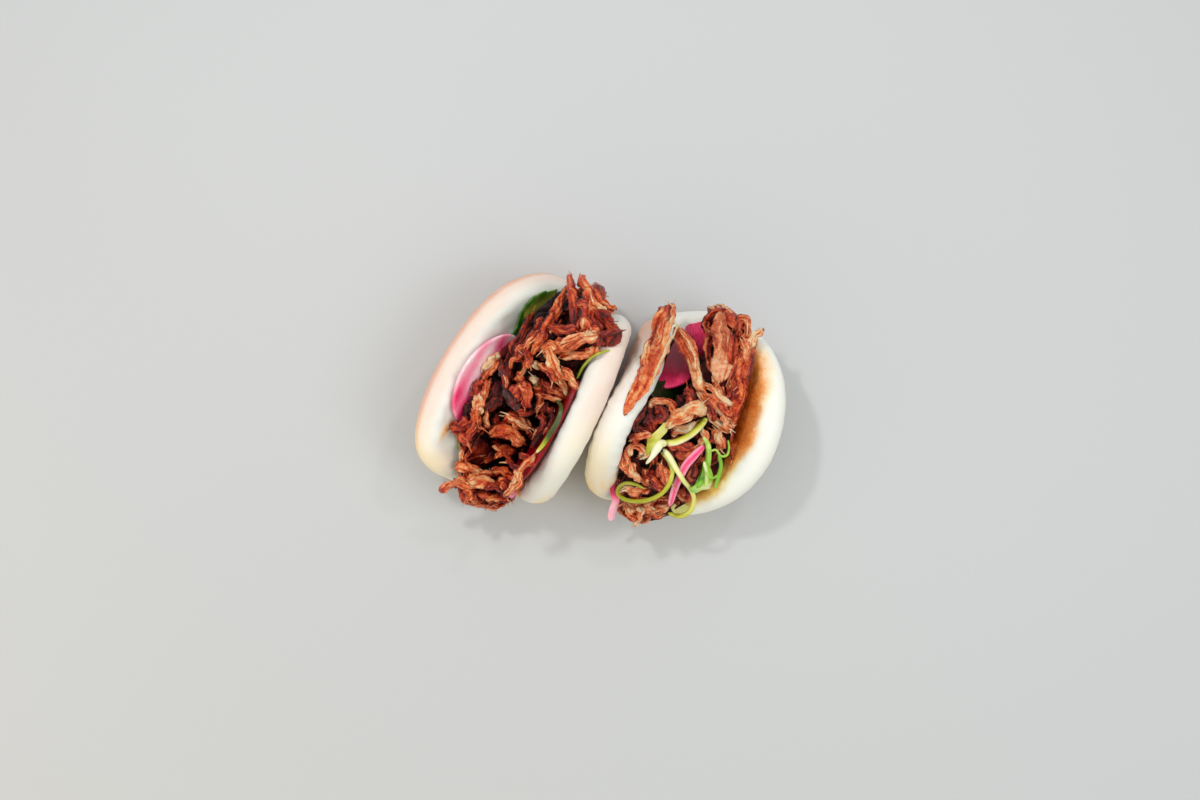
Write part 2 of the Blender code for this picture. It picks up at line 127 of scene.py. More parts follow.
def normal(B, a, b, e=1e-3):
    n = np.cross(section(B, a + e, b) - section(B, a - e, b), section(B, a, b + e) - section(B, a, b - e))
    return n / np.linalg.norm(n, axis=-1, keepdims=True)


def t_in(B, b):
    return B['t'] / 2 * (1 - 0.34 * np.exp(-((b - B['bf']) / 0.28) ** 2))


def t_out(B, b):
    return B['t'] / 2 * (1 - 0.16 * np.exp(-(b / 0.16) ** 2))


def world(B, v):
    A, d, n = frame_of(B)
    q, p, z = v[..., 0] * MM, v[..., 1] * MM, v[..., 2] * MM
    return np.stack([A[0] + d[0] * q + n[0] * p, A[1] + d[1] * q + n[1] * p, np.maximum(z, 0)], -1)


def lay(B, a, b, off):
    """local point at the height off (mm) over the inner face of the dough"""
    a = np.asarray(a, float)
    b = np.asarray(b, float)
    return section(B, a, b) + normal(B, a, b) * (t_in(B, b) + off)[..., None]


def skin(rings, first, last):
    """closed faces over a stack of equal rings with a point at each end"""
    V = np.concatenate([first] + rings + [last])
    n = len(rings[0])
    F = [(0, 1 + (i + 1) % n, 1 + i) for i in range(n)]
    for k in range(len(rings) - 1):
        o = 1 + k * n
        for i in range(n):
            j = (i + 1) % n
            F.append((o + i, o + j, o + n + j, o + n + i))
    e = 1 + (len(rings) - 1) * n
    c = len(V) - 1
    F += [(e + i, e + (i + 1) % n, c) for i in range(n)]
    return V, F


def slab(mid, hin, hout, ab, bb, centre, edge, ne, ni, gather=0.9):
    """sheet with a round rim: mid(a,b) and its normal, half thickness each way, outline (ab, bb) round centre"""
    n = len(ab)
    ca, cb = centre
    fine = np.linspace(0, 1, 121)
    P, _ = mid(ca + fine[:, None] * (ab - ca), cb + fine[:, None] * (bb - cb))
    cum = np.vstack([np.zeros(n), np.cumsum(np.linalg.norm(np.diff(P, axis=0), axis=-1), 0)])
    rows = []
    for k in range(ne + 1):
        f = math.pi / 2 * k / ne
        rho = np.array([np.interp(cum[-1, i] - edge * (1 - math.cos(f)), cum[:, i], fine) for i in range(n)])
        rows.append((rho, math.sin(f)))
    rin = rows[-1][0]
    for j in range(ni - 1, 0, -1):
        rows.append((rin * (j / ni) ** gather, 1.0))

    def ring(rho, s, h, sign):
        a = ca + rho * (ab - ca)
        b = cb + rho * (bb - cb)
        Q, N = mid(a, b)
        return Q + sign * N * (h(a, b) * s)[:, None]
    rings = [ring(r, s, hin, 1) for r, s in rows[1:]][::-1]
    rings += [ring(rows[0][0], 0, hin, 1)]
    rings += [ring(r, s, hout, -1) for r, s in rows[1:]]
    z = np.zeros(1)
    return skin(rings, ring(z, 1, lambda a, b: hin(a, b)[:1], 1)[:1], ring(z, 1, lambda a, b: hout(a, b)[:1], -1)[:1])


def bun(B, nth, ne, ni):
    th = (np.arange(nth) + 0.5) / nth * 2 * np.pi
    ab, bb = rim(B, th)
    V, F = slab(lambda a, b: (section(B, a, b), normal(B, a, b)), lambda a, b: t_in(B, b), lambda a, b: t_out(B, b),
                ab, bb, (0, 0), B['t'] / 2, ne, ni)
    return world(B, V), F


# ---------------------------------------------------------------- outlines and waves
def loop_of(pts, n):
    """smooth closed outline through a few points, n even steps (Catmull-Rom)"""
    P = np.array(pts, float)
    m = len(P)
    t = np.arange(n) / n * m
    i = t.astype(int)
    u = (t - i)[:, None]
    a, b, c, d = P[(i - 1) % m], P[i % m], P[(i + 1) % m], P[(i + 2) % m]
    return 0.5 * (2 * b + (c - a) * u + (2 * a - 5 * b + 4 * c - d) * u ** 2 + (3 * b - a - 3 * c + d) * u ** 3)


def path_of(pts, n):
    """smooth open path through a few points"""
    P = np.array(pts, float)
    P = np.vstack([2 * P[0] - P[1], P, 2 * P[-1] - P[-2]])
    m = len(P) - 3
    t = np.linspace(0, m - 1e-9, n)
    i = t.astype(int)
    u = (t - i)[:, None]
    a, b, c, d = P[i], P[i + 1], P[i + 2], P[i + 3]
    return 0.5 * (2 * b + (c - a) * u + (2 * a - 5 * b + 4 * c - d) * u ** 2 + (3 * b - a - 3 * c + d) * u ** 3)


def waves(x, y, seed, n=7, f0=1.0, f1=3.0):
    r = np.random.RandomState(seed)
    out = 0 * x
    for _ in range(n):
        f = r.uniform(f0, f1)
        g = r.uniform(0, 2 * np.pi)
        out = out + np.sin(f * (x * np.cos(g) + y * np.sin(g)) + r.uniform(0, 6.28))
    return out / math.sqrt(n / 2)


def step(x, a, b):
    t = np.clip((x - a) / (b - a), 0, 1)
    return t * t * (3 - 2 * t)


# ---------------------------------------------------------------- heaps of pulled meat
def heap(B, H, na, nl, nu):
    rings = []
    for k in range(na):
        s = (k + 0.5) / na
        a = H['a'][0] + (H['a'][1] - H['a'][0]) * s
        bl = np.interp(a, H['bl'][0], H['bl'][1])
        br = np.interp(a, H['br'][0], H['br'][1])
        b = bl + (br - bl) * np.linspace(0, 1, nl)
        low = lay(B, a + 0 * b, b, H['off'](a + 0 * b, b))
        u = np.arange(1, nu + 1) / (nu + 1)
        top = low[-1] + (low[0] - low[-1]) * u[:, None]
        cr = np.interp(a, H['crown'][0], H['crown'][1]) * (4 * u * (1 - u)) ** 0.6
        cr = cr + H['amp'] * waves(top[:, 0] / 9., top[:, 1] / 6., H['seed']) * np.minimum(1, 6 * u * (1 - u))
        for (ha, hu, sa, su, dep) in H['hollow']:
            cr = cr - dep * np.exp(-((a - ha) / sa) ** 2 - ((u - hu) / su) ** 2)
        top[:, 2] += cr
        r = np.vstack([low, top])
        e = 1.0
        for end, length in ((H['a'][0], H['end'][0]), (H['a'][1], H['end'][1])):
            e = min(e, math.sqrt(max(0.0, 1 - max(0.0, 1 - abs(a - end) / length) ** 2)))
        c = r.mean(0) + np.array([0, 0, 1.0])
        c = c + (np.array(H['to'][0]) if s < 0.5 else np.array(H['to'][1])) * (1 - e)
        rings.append(c + (r - c) * (0.16 + 0.84 * e))
    rings = [world(B, r) for r in rings]
    for r in rings:
        r[:, 2] = np.maximum(r[:, 2], 0.0008)
    V, F = skin(rings, rings[0].mean(0, keepdims=True), rings[-1].mean(0, keepdims=True))
    return V, [f[::-1] for f in F]


def slope(b):
    return 6.0 * np.clip(0.93 - b, 0, 0.5) * step(b, 0.2, 0.55)


def off_left(a, b):
    o = 0.7 + (LW + 0.3) * step(-b, 0.14, 0.32)
    return o + 2.4 * step(b, 0.14, 0.27) + slope(b)


def off_right(a, b):
    return 0.7 + 0.4 * step(np.abs(b), 0.1, 0.4)


LW = 3.6
HL = dict(a=(-1.16, 1.13), bl=((-1.16, -0.95, -0.8, -0.5, 0.2, 0.7, 0.95, 1.13), (-.60, -.66, -.68, -.80, -.76, -.72, -.56, -.40)),
          br=((-1.16, -0.9, -0.7, -0.3, 0.3, 0.8, 1.13), (.20, .36, .58, .80, .88, .95, .80)),
          crown=((-1.16, -0.9, -0.6, -0.2, 0.3, 0.8, 1.13), (9, 10, 7, 8, 10, 15, 14)), amp=1.9, seed=11,
          hollow=[(-0.72, 0.72, 0.13, 0.16, 7.0), (0.72, 0.55, 0.10, 0.13, 6.0), (-0.2, 0.12, 0.2, 0.12, 4.0)],
          off=off_left, end=(0.13, 0.16), to=((0, -7, 0), (0, 3, 5)))
HR = dict(a=(-1.08, 1.03), bl=((-1.08, -0.8, -0.4, 0.2, 0.6, 1.03), (-.30, -.52, -.78, -.84, -.78, -.36)),
          br=((-1.08, -0.8, -0.4, 0.3, 0.7, 1.03), (.42, .58, .73, .76, .80, .52)),
          crown=((-1.08, -0.9, -0.6, -0.2, 0.3, 0.8, 1.03), (8, 9, 8, 7, 8, 12, 11)), amp=1.7, seed=5,
          hollow=[(0.42, 0.62, 0.26, 0.20, 11.0), (0.35, 0.80, 0.2, 0.1, 5.0), (-0.45, 0.25, 0.3, 0.2, 4.0)],
          off=off_right, end=(0.2, 0.16), to=((0, -2, 1), (0, 8, 3)))


# ================================================================ visual model
# the frame's origin is the middle of the underside; SHIFT brings the plan grid onto it
SHIFT = np.array([0.00018002, 0.0010345, 0.0])
RND = np.random.RandomState


def make(name, V, quads=None, tris=None, attrs=None, mat=None, smooth=True):
    V = np.asarray(V, float) - SHIFT
    quads = np.zeros((0, 4), int) if quads is None else np.asarray(quads, int).reshape(-1, 4)
    tris = np.zeros((0, 3), int) if tris is None else np.asarray(tris, int).reshape(-1, 3)
    me = bpy.data.meshes.new(name)
    me.vertices.add(len(V))
    me.vertices.foreach_set('co', V.astype(np.float32).ravel())
    idx = np.concatenate([quads.ravel(), tris.ravel()])
    me.loops.add(len(idx))
    me.loops.foreach_set('vertex_index', idx.astype(np.int32))
    tot = np.concatenate([np.full(len(quads), 4), np.full(len(tris), 3)])
    me.polygons.add(len(tot))
    me.polygons.foreach_set('loop_start', np.concatenate([[0], np.cumsum(tot)[:-1]]).astype(np.int32))
    me.polygons.foreach_set('loop_total', tot.astype(np.int32))
    me.update(calc_edges=True)
    me.validate()
    me.polygons.foreach_set('use_smooth', np.ones(len(me.polygons), bool))
    for k, v in (attrs or {}).items():
        at = me.attributes.new(k, 'FLOAT', 'POINT')
        at.data.foreach_set('value', np.asarray(v, np.float32))
    ob = bpy.data.objects.new(name, me)
    bpy.context.scene.collection.objects.link(ob)
    if mat:
        me.materials.append(mat)
    return ob


def own(ob, slot, *nodes):
    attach(ob, "root")
    if nodes:
        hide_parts(*nodes)
    return ob


def split(F):
    """quads and triangles of a face list"""
    q = [f for f in F if len(f) == 4]
    t = [f for f in F if len(f) == 3]
    return np.array(q, int).reshape(-1, 4), np.array(t, int).reshape(-1, 3)


# ---------------------------------------------------------------- ground: highest point seen from above
GX0, GY0, GW, GH = 380, 240, 440, 320


class Ground:
    def __init__(self):
        self.z = np.zeros((GH, GW))

    def add(self, V, quads, tris=None):
        q = V[quads] if len(quads) else np.zeros((0, 4, 3))
        if tris is not None and len(tris):
            t = V[tris]
            q = np.concatenate([q, np.concatenate([t, t[:, 2:]], 1)])
        e = np.maximum(np.linalg.norm(q[:, 1] - q[:, 0], axis=1), np.linalg.norm(q[:, 2] - q[:, 1], axis=1))
        for lo, hi, k in ((0, 0.0006, 2), (0.0006, 0.0012, 4), (0.0012, 0.0024, 7), (0.0024, 0.005, 13), (0.005, 1, 30)):
            s = q[(e >= lo) & (e < hi)]
            if not len(s):
                continue
            u, v = np.meshgrid(np.linspace(0, 1, k), np.linspace(0, 1, k))
            w = np.stack([(1 - u) * (1 - v), u * (1 - v), u * v, (1 - u) * v], -1).reshape(-1, 4)
            S = np.einsum('kw,mwc->mkc', w, s).reshape(-1, 3)
            p = proj(S)
            ix = np.clip((p[:, 0] - GX0).astype(int), 0, GW - 1)
            iy = np.clip((p[:, 1] - GY0).astype(int), 0, GH - 1)
            np.maximum.at(self.z, (iy, ix), S[:, 2])

    def at(self, px, py, r=0.0):
        """mean height within r steps"""
        if r < 0.8:
            offs = [(0, 0)]
        else:
            k = np.linspace(-r, r, 5)
            offs = [(a, b) for a in k for b in k if a * a + b * b <= r * r * 1.05]
        s = 0
        for a, b in offs:
            ix = np.clip((px + a - GX0).astype(int), 0, GW - 1)
            iy = np.clip((py + b - GY0).astype(int), 0, GH - 1)
            s = s + self.z[iy, ix]
        return s / len(offs)

    def top(self, px, py, r):
        best = 0 * px
        k = np.linspace(-r, r, max(3, int(r) * 2 + 1))
        for a in k:
            for b in k:
                if a * a + b * b <= r * r * 1.05:
                    ix = np.clip((px + a - GX0).astype(int), 0, GW - 1)
                    iy = np.clip((py + b - GY0).astype(int), 0, GH - 1)
                    best = np.maximum(best, self.z[iy, ix])
        return best


G = Ground()


# ---------------------------------------------------------------- nodes helper
def lin(r, g, b):
    """8-bit display colour to linear"""
    out = []
    for c in (r, g, b):
        c = c / 255.0
        out.append(c / 12.92 if c <= 0.04045 else ((c + 0.055) / 1.055) ** 2.4)
    return (*out, 1.0)


class Mat:
    def __init__(self, name):
        self.m = bpy.data.materials.new(name)
        self.m.use_nodes = True
        self.nt = self.m.node_tree
        self.b = self.nt.nodes.get('Principled BSDF')

    def n(self, kind, **kw):
        x = self.nt.nodes.new(kind)
        for k, v in kw.items():
            setattr(x, k, v)
        return x

    def link(self, a, b):
        self.nt.links.new(a, b)

    def attr(self, name):
        return self.n('ShaderNodeAttribute', attribute_name=name).outputs['Fac']

    def coord(self):
        return self.n('ShaderNodeTexCoord').outputs['Object']

    def val(self, v):
        x = self.n('ShaderNodeValue')
        x.outputs[0].default_value = v
        return x.outputs[0]

    def math(self, op, a, b=None, c=None, clamp=False):
        x = self.n('ShaderNodeMath', operation=op)
        x.use_clamp = clamp
        for i, v in enumerate((a, b, c)):
            if v is None:
                continue
            if isinstance(v, (int, float)):
                x.inputs[i].default_value = v
            else:
                self.link(v, x.inputs[i])
        return x.outputs[0]

    def noise(self, vec, scale, detail=2.0, rough=0.5, dist=0.0):
        x = self.n('ShaderNodeTexNoise')
        x.inputs['Scale'].default_value = scale
        x.inputs['Detail'].default_value = detail
        x.inputs['Roughness'].default_value = rough
        x.inputs['Distortion'].default_value = dist
        self.link(vec, x.inputs['Vector'])
        return x.outputs['Fac']

    def comb(self, a, b, c=0.0):
        x = self.n('ShaderNodeCombineXYZ')
        for i, v in enumerate((a, b, c)):
            if isinstance(v, (int, float)):
                x.inputs[i].default_value = v
            else:
                self.link(v, x.inputs[i])
        return x.outputs[0]

    def ramp(self, fac, stops, interp='LINEAR'):
        x = self.n('ShaderNodeValToRGB')
        x.color_ramp.interpolation = interp
        el = x.color_ramp.elements
        el[0].position, el[0].color = stops[0]
        el[1].position, el[1].color = stops[-1]
        for p, c in stops[1:-1]:
            e = el.new(p)
            e.color = c
        self.link(fac, x.inputs['Fac'])
        return x.outputs['Color']

    def mix(self, fac, a, b, mode='MIX'):
        x = self.n('ShaderNodeMix', data_type='RGBA', blend_type=mode)
        for s, v in ((x.inputs[0], fac), (x.inputs[6], a), (x.inputs[7], b)):
            if isinstance(v, (int, float)):
                s.default_value = v
            elif isinstance(v, tuple):
                s.default_value = v
            else:
                self.link(v, s)
        return x.outputs[2]

    def bump(self, height, strength, distance, normal=None):
        x = self.n('ShaderNodeBump')
        x.inputs['Strength'].default_value = strength
        x.inputs['Distance'].default_value = distance
        self.link(height, x.inputs['Height'])
        if normal is not None:
            self.link(normal, x.inputs['Normal'])
        return x.outputs['Normal']

    def set(self, **kw):
        for k, v in kw.items():
            k = k.replace('_', ' ')
            if isinstance(v, (int, float, tuple)):
                self.b.inputs[k].default_value = v
            else:
                self.link(v, self.b.inputs[k])


def range01(M, v, a, b):
    x = M.n('ShaderNodeMapRange', clamp=True)
    M.link(v, x.inputs['Value'])
    x.inputs['From Min'].default_value = a
    x.inputs['From Max'].default_value = b
    return x.outputs['Result']


# ---------------------------------------------------------------- materials
def dough_material():
    M = Mat('dough_look')
    P = M.coord()
    big = M.noise(P, 22.0, 3.0)
    mid = M.noise(P, 120.0, 3.0)
    white = M.mix(big, lin(229, 229, 221), lin(237, 238, 232))
    # painted shade: the tan mask lays a warm tan over the turned-away faces, rims and crease of the dough, in place of
    # shade and warm bounce light; painted_shade_yellow makes this painted shade yellower towards the lower end
    tan = M.attr('tan')
    tn = M.math('MULTIPLY', tan, M.math('MULTIPLY_ADD', mid, 0.5, 0.75), clamp=True)
    col = M.mix(tn, white, M.mix(M.attr('painted_shade_yellow'), lin(226, 180, 158), lin(240, 213, 158)))
    # stain_and_shade: sauce stains, and on the right bun also a faint painted shadow
    st = M.attr('stain_and_shade')
    speck = M.noise(P, 900.0, 4.0, 0.65)
    blot = M.noise(P, 170.0, 4.0, 0.6)
    s2 = M.math('ADD', st, M.math('MULTIPLY', M.math('SUBTRACT', blot, 0.5), M.math('MULTIPLY', M.math('MINIMUM', st, 0.5), 1.1)))
    s3 = M.math('ADD', s2, M.math('MULTIPLY', M.math('SUBTRACT', speck, 0.5), M.math('MULTIPLY', M.math('MINIMUM', st, 0.5), 0.9)), clamp=True)
    sc = M.ramp(s3, [(0.0, lin(248, 238, 212)), (0.16, lin(244, 206, 146)), (0.38, lin(234, 146, 74)), (0.62, lin(202, 92, 28)), (0.82, lin(134, 42, 6)), (1.0, lin(76, 14, 0))])
    sc = M.mix(M.math('MULTIPLY', M.attr('yel'), 0.62), sc, M.ramp(s3, [(0.0, lin(244, 236, 190)), (0.3, lin(224, 196, 96)), (0.7, lin(186, 144, 44)), (1.0, lin(110, 70, 10))]))
    f = range01(M, s3, 0.02, 0.3)
    col = M.mix(f, col, sc)
    M.set(Base_Color=col, Roughness=M.math('MULTIPLY_ADD', f, -0.16, 0.52))
    M.set(Subsurface_Weight=0.22, Subsurface_Scale=0.0035, Subsurface_Radius=(1.0, 0.72, 0.5), Specular_IOR_Level=0.35)
    pores = M.noise(P, 1400.0, 3.0, 0.6)
    h = M.math('ADD', M.math('MULTIPLY', M.noise(P, 260.0, 4.0, 0.55), 1.0), M.math('MULTIPLY', pores, 0.35))
    M.set(Normal=M.bump(h, 0.22, 0.0006))
    return M.m


MEAT_STOPS = [(0.0, lin(18, 0, 0)), (0.13, lin(60, 2, 0)), (0.27, lin(110, 12, 2)), (0.42, lin(162, 30, 4)), (0.56, lin(212, 68, 20)),
              (0.70, lin(248, 122, 60)), (0.85, lin(255, 178, 116)), (1.0, lin(255, 226, 180))]


def meat_material(name='meat_look', up=0.0, tan=0.0, stripe=0.52, grain=0.60):
    M = Mat(name)
    P = M.coord()
    fu, fv, tint, gr, gl = M.attr('fu'), M.attr('fv'), M.attr('tint'), M.attr('groove'), M.attr('glaze')
    vec = M.comb(M.math('MULTIPLY', fu, 0.20), M.math('MULTIPLY', fv, 1.1), M.math('MULTIPLY', tint, 37.0))
    streak = M.noise(vec, 1.2, 4.0, 0.6, 0.6)
    fine = M.noise(M.comb(M.math('MULTIPLY', fu, 0.6), M.math('MULTIPLY', fv, 3.2), M.math('MULTIPLY', tint, 11.0)), 1.6, 3.0, 0.6)
    blot = M.noise(P, 260.0, 4.0, 0.65)
    big = M.noise(P, 80.0, 2.0)
    t = M.math('ADD', tint, M.math('MULTIPLY_ADD', M.math('SUBTRACT', streak, 0.5), stripe, up))
    t = M.math('ADD', t, M.math('MULTIPLY', M.math('SUBTRACT', blot, 0.5), 1.0 * grain))
    grit = M.noise(P, 1000.0, 2.0, 0.6)
    t = M.math('ADD', t, M.math('MULTIPLY', M.math('SUBTRACT', grit, 0.5), 0.40 * grain))
    t = M.math('ADD', t, M.math('MULTIPLY', M.math('SUBTRACT', big, 0.5), 0.40))
    t = M.math('ADD', t, M.math('MULTIPLY', M.math('SUBTRACT', fine, 0.5), 0.5 * stripe))
    # painted shade: gr darkens the grooves between fibres and the lower sides of the pieces
    t = M.math('SUBTRACT', t, M.math('MULTIPLY', M.math('SUBTRACT', gr, 0.25), 0.40))
    # painted crevice shade: darker where a point lies down under the pieces round it
    painted_crevice_shade = M.attr('painted_crevice_shade')
    t = M.math('SUBTRACT', t, M.math('MULTIPLY', painted_crevice_shade, 0.47))
    t = M.math('MULTIPLY_ADD', t, 1.14, -0.055, clamp=True)
    col = M.ramp(t, MEAT_STOPS)
    pale = M.ramp(t, [(0.0, lin(20, 3, 1)), (0.15, lin(64, 14, 6)), (0.30, lin(112, 44, 26)), (0.46, lin(172, 78, 48)), (0.60, lin(218, 122, 80)),
                      (0.76, lin(250, 172, 124)), (1.0, lin(255, 230, 196))])
    grey = M.math('ADD', range01(M, M.noise(P, 64.0, 2.0), 0.50, 0.62), M.math('MULTIPLY', gl, -1.2))
    grey = M.math('MULTIPLY_ADD', M.math('ADD', grey, 0.0, clamp=True), 0.36, tan, clamp=True)
    grey = M.math('MULTIPLY', grey, range01(M, t, 0.22, 0.50))
    col = M.mix(grey, col, pale)
    red = M.math('ADD', M.noise(P, 115.0, 2.0), M.math('MULTIPLY', gl, 0.55))
    sauce = range01(M, red, 0.58, 0.76)
    wetc = M.ramp(t, [(0.0, lin(26, 0, 0)), (0.22, lin(92, 4, 0)), (0.42, lin(152, 22, 4)), (0.62, lin(206, 56, 14)), (0.82, lin(246, 116, 56)), (1.0, lin(255, 190, 130))])
    col = M.mix(M.math('MULTIPLY', sauce, 0.80), col, wetc)
    M.set(Base_Color=col)
    rgh = M.math('MULTIPLY_ADD', range01(M, blot, 0.35, 0.65), 0.26, 0.22)
    rgh = M.math('SUBTRACT', rgh, M.math('MULTIPLY', sauce, 0.10))
    # less shine where the painted crevice shade lies
    wet = M.math('SUBTRACT', 1.0, M.math('MULTIPLY', painted_crevice_shade, 0.9), clamp=True)
    M.set(Roughness=rgh, Specular_IOR_Level=M.math('MULTIPLY', wet, 0.28), Coat_Roughness=0.055,
          Coat_Weight=M.math('MULTIPLY', wet, M.math('MULTIPLY_ADD', sauce, 0.42, 0.38)))
    M.set(Subsurface_Weight=0.06, Subsurface_Scale=0.0014, Subsurface_Radius=(1.0, 0.35, 0.18))
    h = M.math('ADD', M.math('MULTIPLY', streak, 0.8), M.math('MULTIPLY', fine, 0.6))
    h = M.math('ADD', h, M.math('MULTIPLY', M.noise(P, 560.0, 4.0, 0.65), 0.95))
    M.set(Normal=M.bump(h, 1.0, 0.0010), Coat_Normal=M.bump(h, 0.8, 0.0010))
    return M.m


def slice_material():
    M = Mat('onion_slice_look')
    pk, vein = M.attr('pk'), M.attr('vein')
    v = M.noise(M.comb(M.math('MULTIPLY', vein, 1.0), M.math('MULTIPLY', M.attr('run'), 0.09), 0.0), 5.0, 3.0, 0.6)
    t = M.math('ADD', pk, M.math('MULTIPLY', M.math('SUBTRACT', v, 0.5), 0.40), clamp=True)
    col = M.ramp(t, [(0.0, lin(252, 214, 226)), (0.25, lin(240, 140, 184)), (0.45, lin(206, 44, 100)), (0.62, lin(156, 0, 30)), (0.85, lin(124, 0, 12)), (1.0, lin(78, 0, 4))])
    M.set(Base_Color=col, Roughness=0.28, Specular_IOR_Level=0.25, Coat_Weight=0.05, Coat_Roughness=0.12, Subsurface_Weight=0.12, Subsurface_Scale=0.002, Subsurface_Radius=(1.0, 0.2, 0.2))
    M.set(Normal=M.bump(v, 0.35, 0.0006))
    return M.m


def onion_material():
    M = Mat('onion_look')
    P = M.coord()
    pk, vein = M.attr('pk'), M.attr('vein')
    v = M.noise(M.comb(M.math('MULTIPLY', vein, 1.0), M.math('MULTIPLY', M.attr('run'), 0.09), 0.0), 5.0, 3.0, 0.6)
    t = M.math('ADD', pk, M.math('MULTIPLY', M.math('SUBTRACT', v, 0.5), 0.42))
    t = M.math('ADD', t, M.math('MULTIPLY', M.math('SUBTRACT', M.noise(P, 130.0, 2.0), 0.5), 0.18), clamp=True)
    col = M.ramp(t, [(0.0, lin(253, 226, 228)), (0.22, lin(255, 172, 194)), (0.42, lin(255, 112, 152)), (0.58, lin(236, 52, 106)),
                     (0.74, lin(176, 8, 66)), (0.88, lin(140, 0, 40)), (1.0, lin(58, 0, 8))])
    M.set(Base_Color=col, Roughness=0.28, Subsurface_Weight=M.math('MULTIPLY', M.math('SUBTRACT', 1.0, t, clamp=True), 0.3), Subsurface_Scale=0.002, Subsurface_Radius=(1.0, 0.4, 0.5),
          Specular_IOR_Level=0.3, Coat_Weight=0.08, Coat_Roughness=0.12)
    M.set(Normal=M.bump(v, 0.35, 0.0006))
    return M.m


def leaf_material():
    M = Mat('leaf_look')
    P = M.coord()
    rib = M.attr('rib')
    n = M.noise(P, 240.0, 4.0, 0.6)
    col = M.ramp(n, [(0.3, lin(30, 66, 12)), (0.55, lin(60, 112, 22)), (0.75, lin(104, 152, 44))])
    col = M.mix(rib, col, lin(188, 186, 70))
    col = M.mix(M.attr('shade'), lin(10, 16, 2), col)
    M.set(Base_Color=col, Roughness=0.36, Specular_IOR_Level=0.5, Subsurface_Weight=0.08, Subsurface_Scale=0.001)
    M.set(Normal=M.bump(n, 0.6, 0.0008))
    return M.m


def scallion_material(name='scallion_look', fresh=False):
    M = Mat(name)
    P = M.coord()
    g, sv, su = M.attr('g'), M.attr('sv'), M.attr('su')
    st = M.noise(M.comb(M.math('MULTIPLY', sv, 2.2), M.math('MULTIPLY', su, 0.06), 0.0), 3.2, 3.0, 0.6)
    t = M.math('ADD', g, M.math('MULTIPLY', M.math('SUBTRACT', st, 0.5), 0.85), clamp=True)
    if fresh:
        col = M.ramp(t, [(0.0, lin(236, 242, 206)), (0.22, lin(204, 228, 120)), (0.45, lin(150, 204, 52)), (0.65, lin(108, 172, 30)), (0.82, lin(70, 134, 20)), (1.0, lin(34, 72, 10))])
    else:
        col = M.ramp(t, [(0.0, lin(240, 240, 216)), (0.22, lin(228, 226, 130)), (0.45, lin(194, 194, 48)), (0.65, lin(156, 156, 24)), (0.82, lin(104, 124, 14)), (1.0, lin(48, 60, 8))])
    edge = M.math('POWER', M.math('ABSOLUTE', sv), 3.0)
    col = M.mix(M.math('MULTIPLY', edge, 0.35), col, lin(96, 100, 14))
    M.set(Base_Color=col, Roughness=0.3, Specular_IOR_Level=0.5, Subsurface_Weight=0.15, Subsurface_Scale=0.0012, Subsurface_Radius=(0.8, 1.0, 0.3),
          Coat_Weight=0.2, Coat_Roughness=0.15)
    M.set(Normal=M.bump(st, 0.35, 0.0004))
    return M.m


DOUGH_M = dough_material()
MEAT_M = meat_material(up=0.0)
MEAT_R = meat_material('meat_look_right', 0.10, 0.24)
MEAT_A = meat_material('meat_look_slabs', 0.03, -0.12, 0.34, 0.70)
MEAT_P = meat_material('meat_look_pale', -0.03, 0.50, 0.40, 0.70)
SCAL_G = scallion_material('scallion_green_look', True)
SLICE_M = slice_material()
ONION_M = onion_material()
LEAF_M = leaf_material()
SCAL_M = scallion_material()


# ---------------------------------------------------------------- buns at full detail
def fine_bun(B, nth, ne, ni, seed):
    th = (np.arange(nth) + 0.5) / nth * 2 * np.pi
    ab, bb = rim(B, th)
    seen = []

    def mid(a, b):
        seen.append((np.array(a), np.array(b)))
        return section(B, a, b), normal(B, a, b)

    def h_in(a, b):
        return t_in(B, b) * (1 + 0.018 * waves(a * 5, b * 4, seed, 6, 0.6, 2.2)) - 0.16 * waves(a * 40, b * 40, seed + 5, 12, 0.5, 1.6)

    def h_out(a, b):
        return t_out(B, b) * (1 + 0.018 * waves(a * 5, b * 4, seed + 1, 6, 0.6, 2.2)) - 0.14 * waves(a * 40, b * 40, seed + 6, 12, 0.5, 1.6)
    V, F = slab(mid, h_in, h_out, ab, bb, (0, 0), B['t'] / 2, ne, ni)
    rings = seen[1:]
    # order of the rings: inner from the middle out, rim, outer from the rim in, then the two middle points
    n_in = ne + ni - 1
    inner = rings[:n_in][::-1]
    A = [np.zeros(1)] + [r[0] for r in inner] + [rings[n_in][0]] + [r[0] for r in rings[n_in + 1:2 * n_in + 1]] + [np.zeros(1)]
    Bb = [np.zeros(1)] + [r[1] for r in inner] + [rings[n_in][1]] + [r[1] for r in rings[n_in + 1:2 * n_in + 1]] + [np.zeros(1)]
    sv = [math.sin(math.pi / 2 * k / ne) for k in range(1, ne + 1)] + [1.0] * (ni - 1)
    face = np.concatenate([np.ones(1)] + [np.full(nth, q) for q in sv[::-1]] + [np.zeros(nth)] + [np.full(nth, -q) for q in sv] + [-np.ones(1)])
    return world(B, V), F, np.concatenate(A), np.concatenate(Bb), face


def add_bun(name, B, seed, stain_and_shade_fn, painted_shade_fn):
    V, F, a, b, face = fine_bun(B, 264, 12, 36, seed)
    q, t = split(F)
    # tan and painted_shade_yellow carry painted shade; stain_and_shade carries sauce stains and, on the right bun, a
    # painted shadow
    ob = make(name + '_dough', V, q, t, dict(stain_and_shade=stain_and_shade_fn(a, b, face, V), tan=painted_shade_fn(a, b, face, V), yel=step(-a, 0.18, 0.48) * (b > 0) * (name == 'bun_right'),
                                 painted_shade_yellow=step(proj(V)[:, 1], 400, 462)), DOUGH_M)
    own(ob, 'dough', name)
    G.add(V, q, t)
    return ob


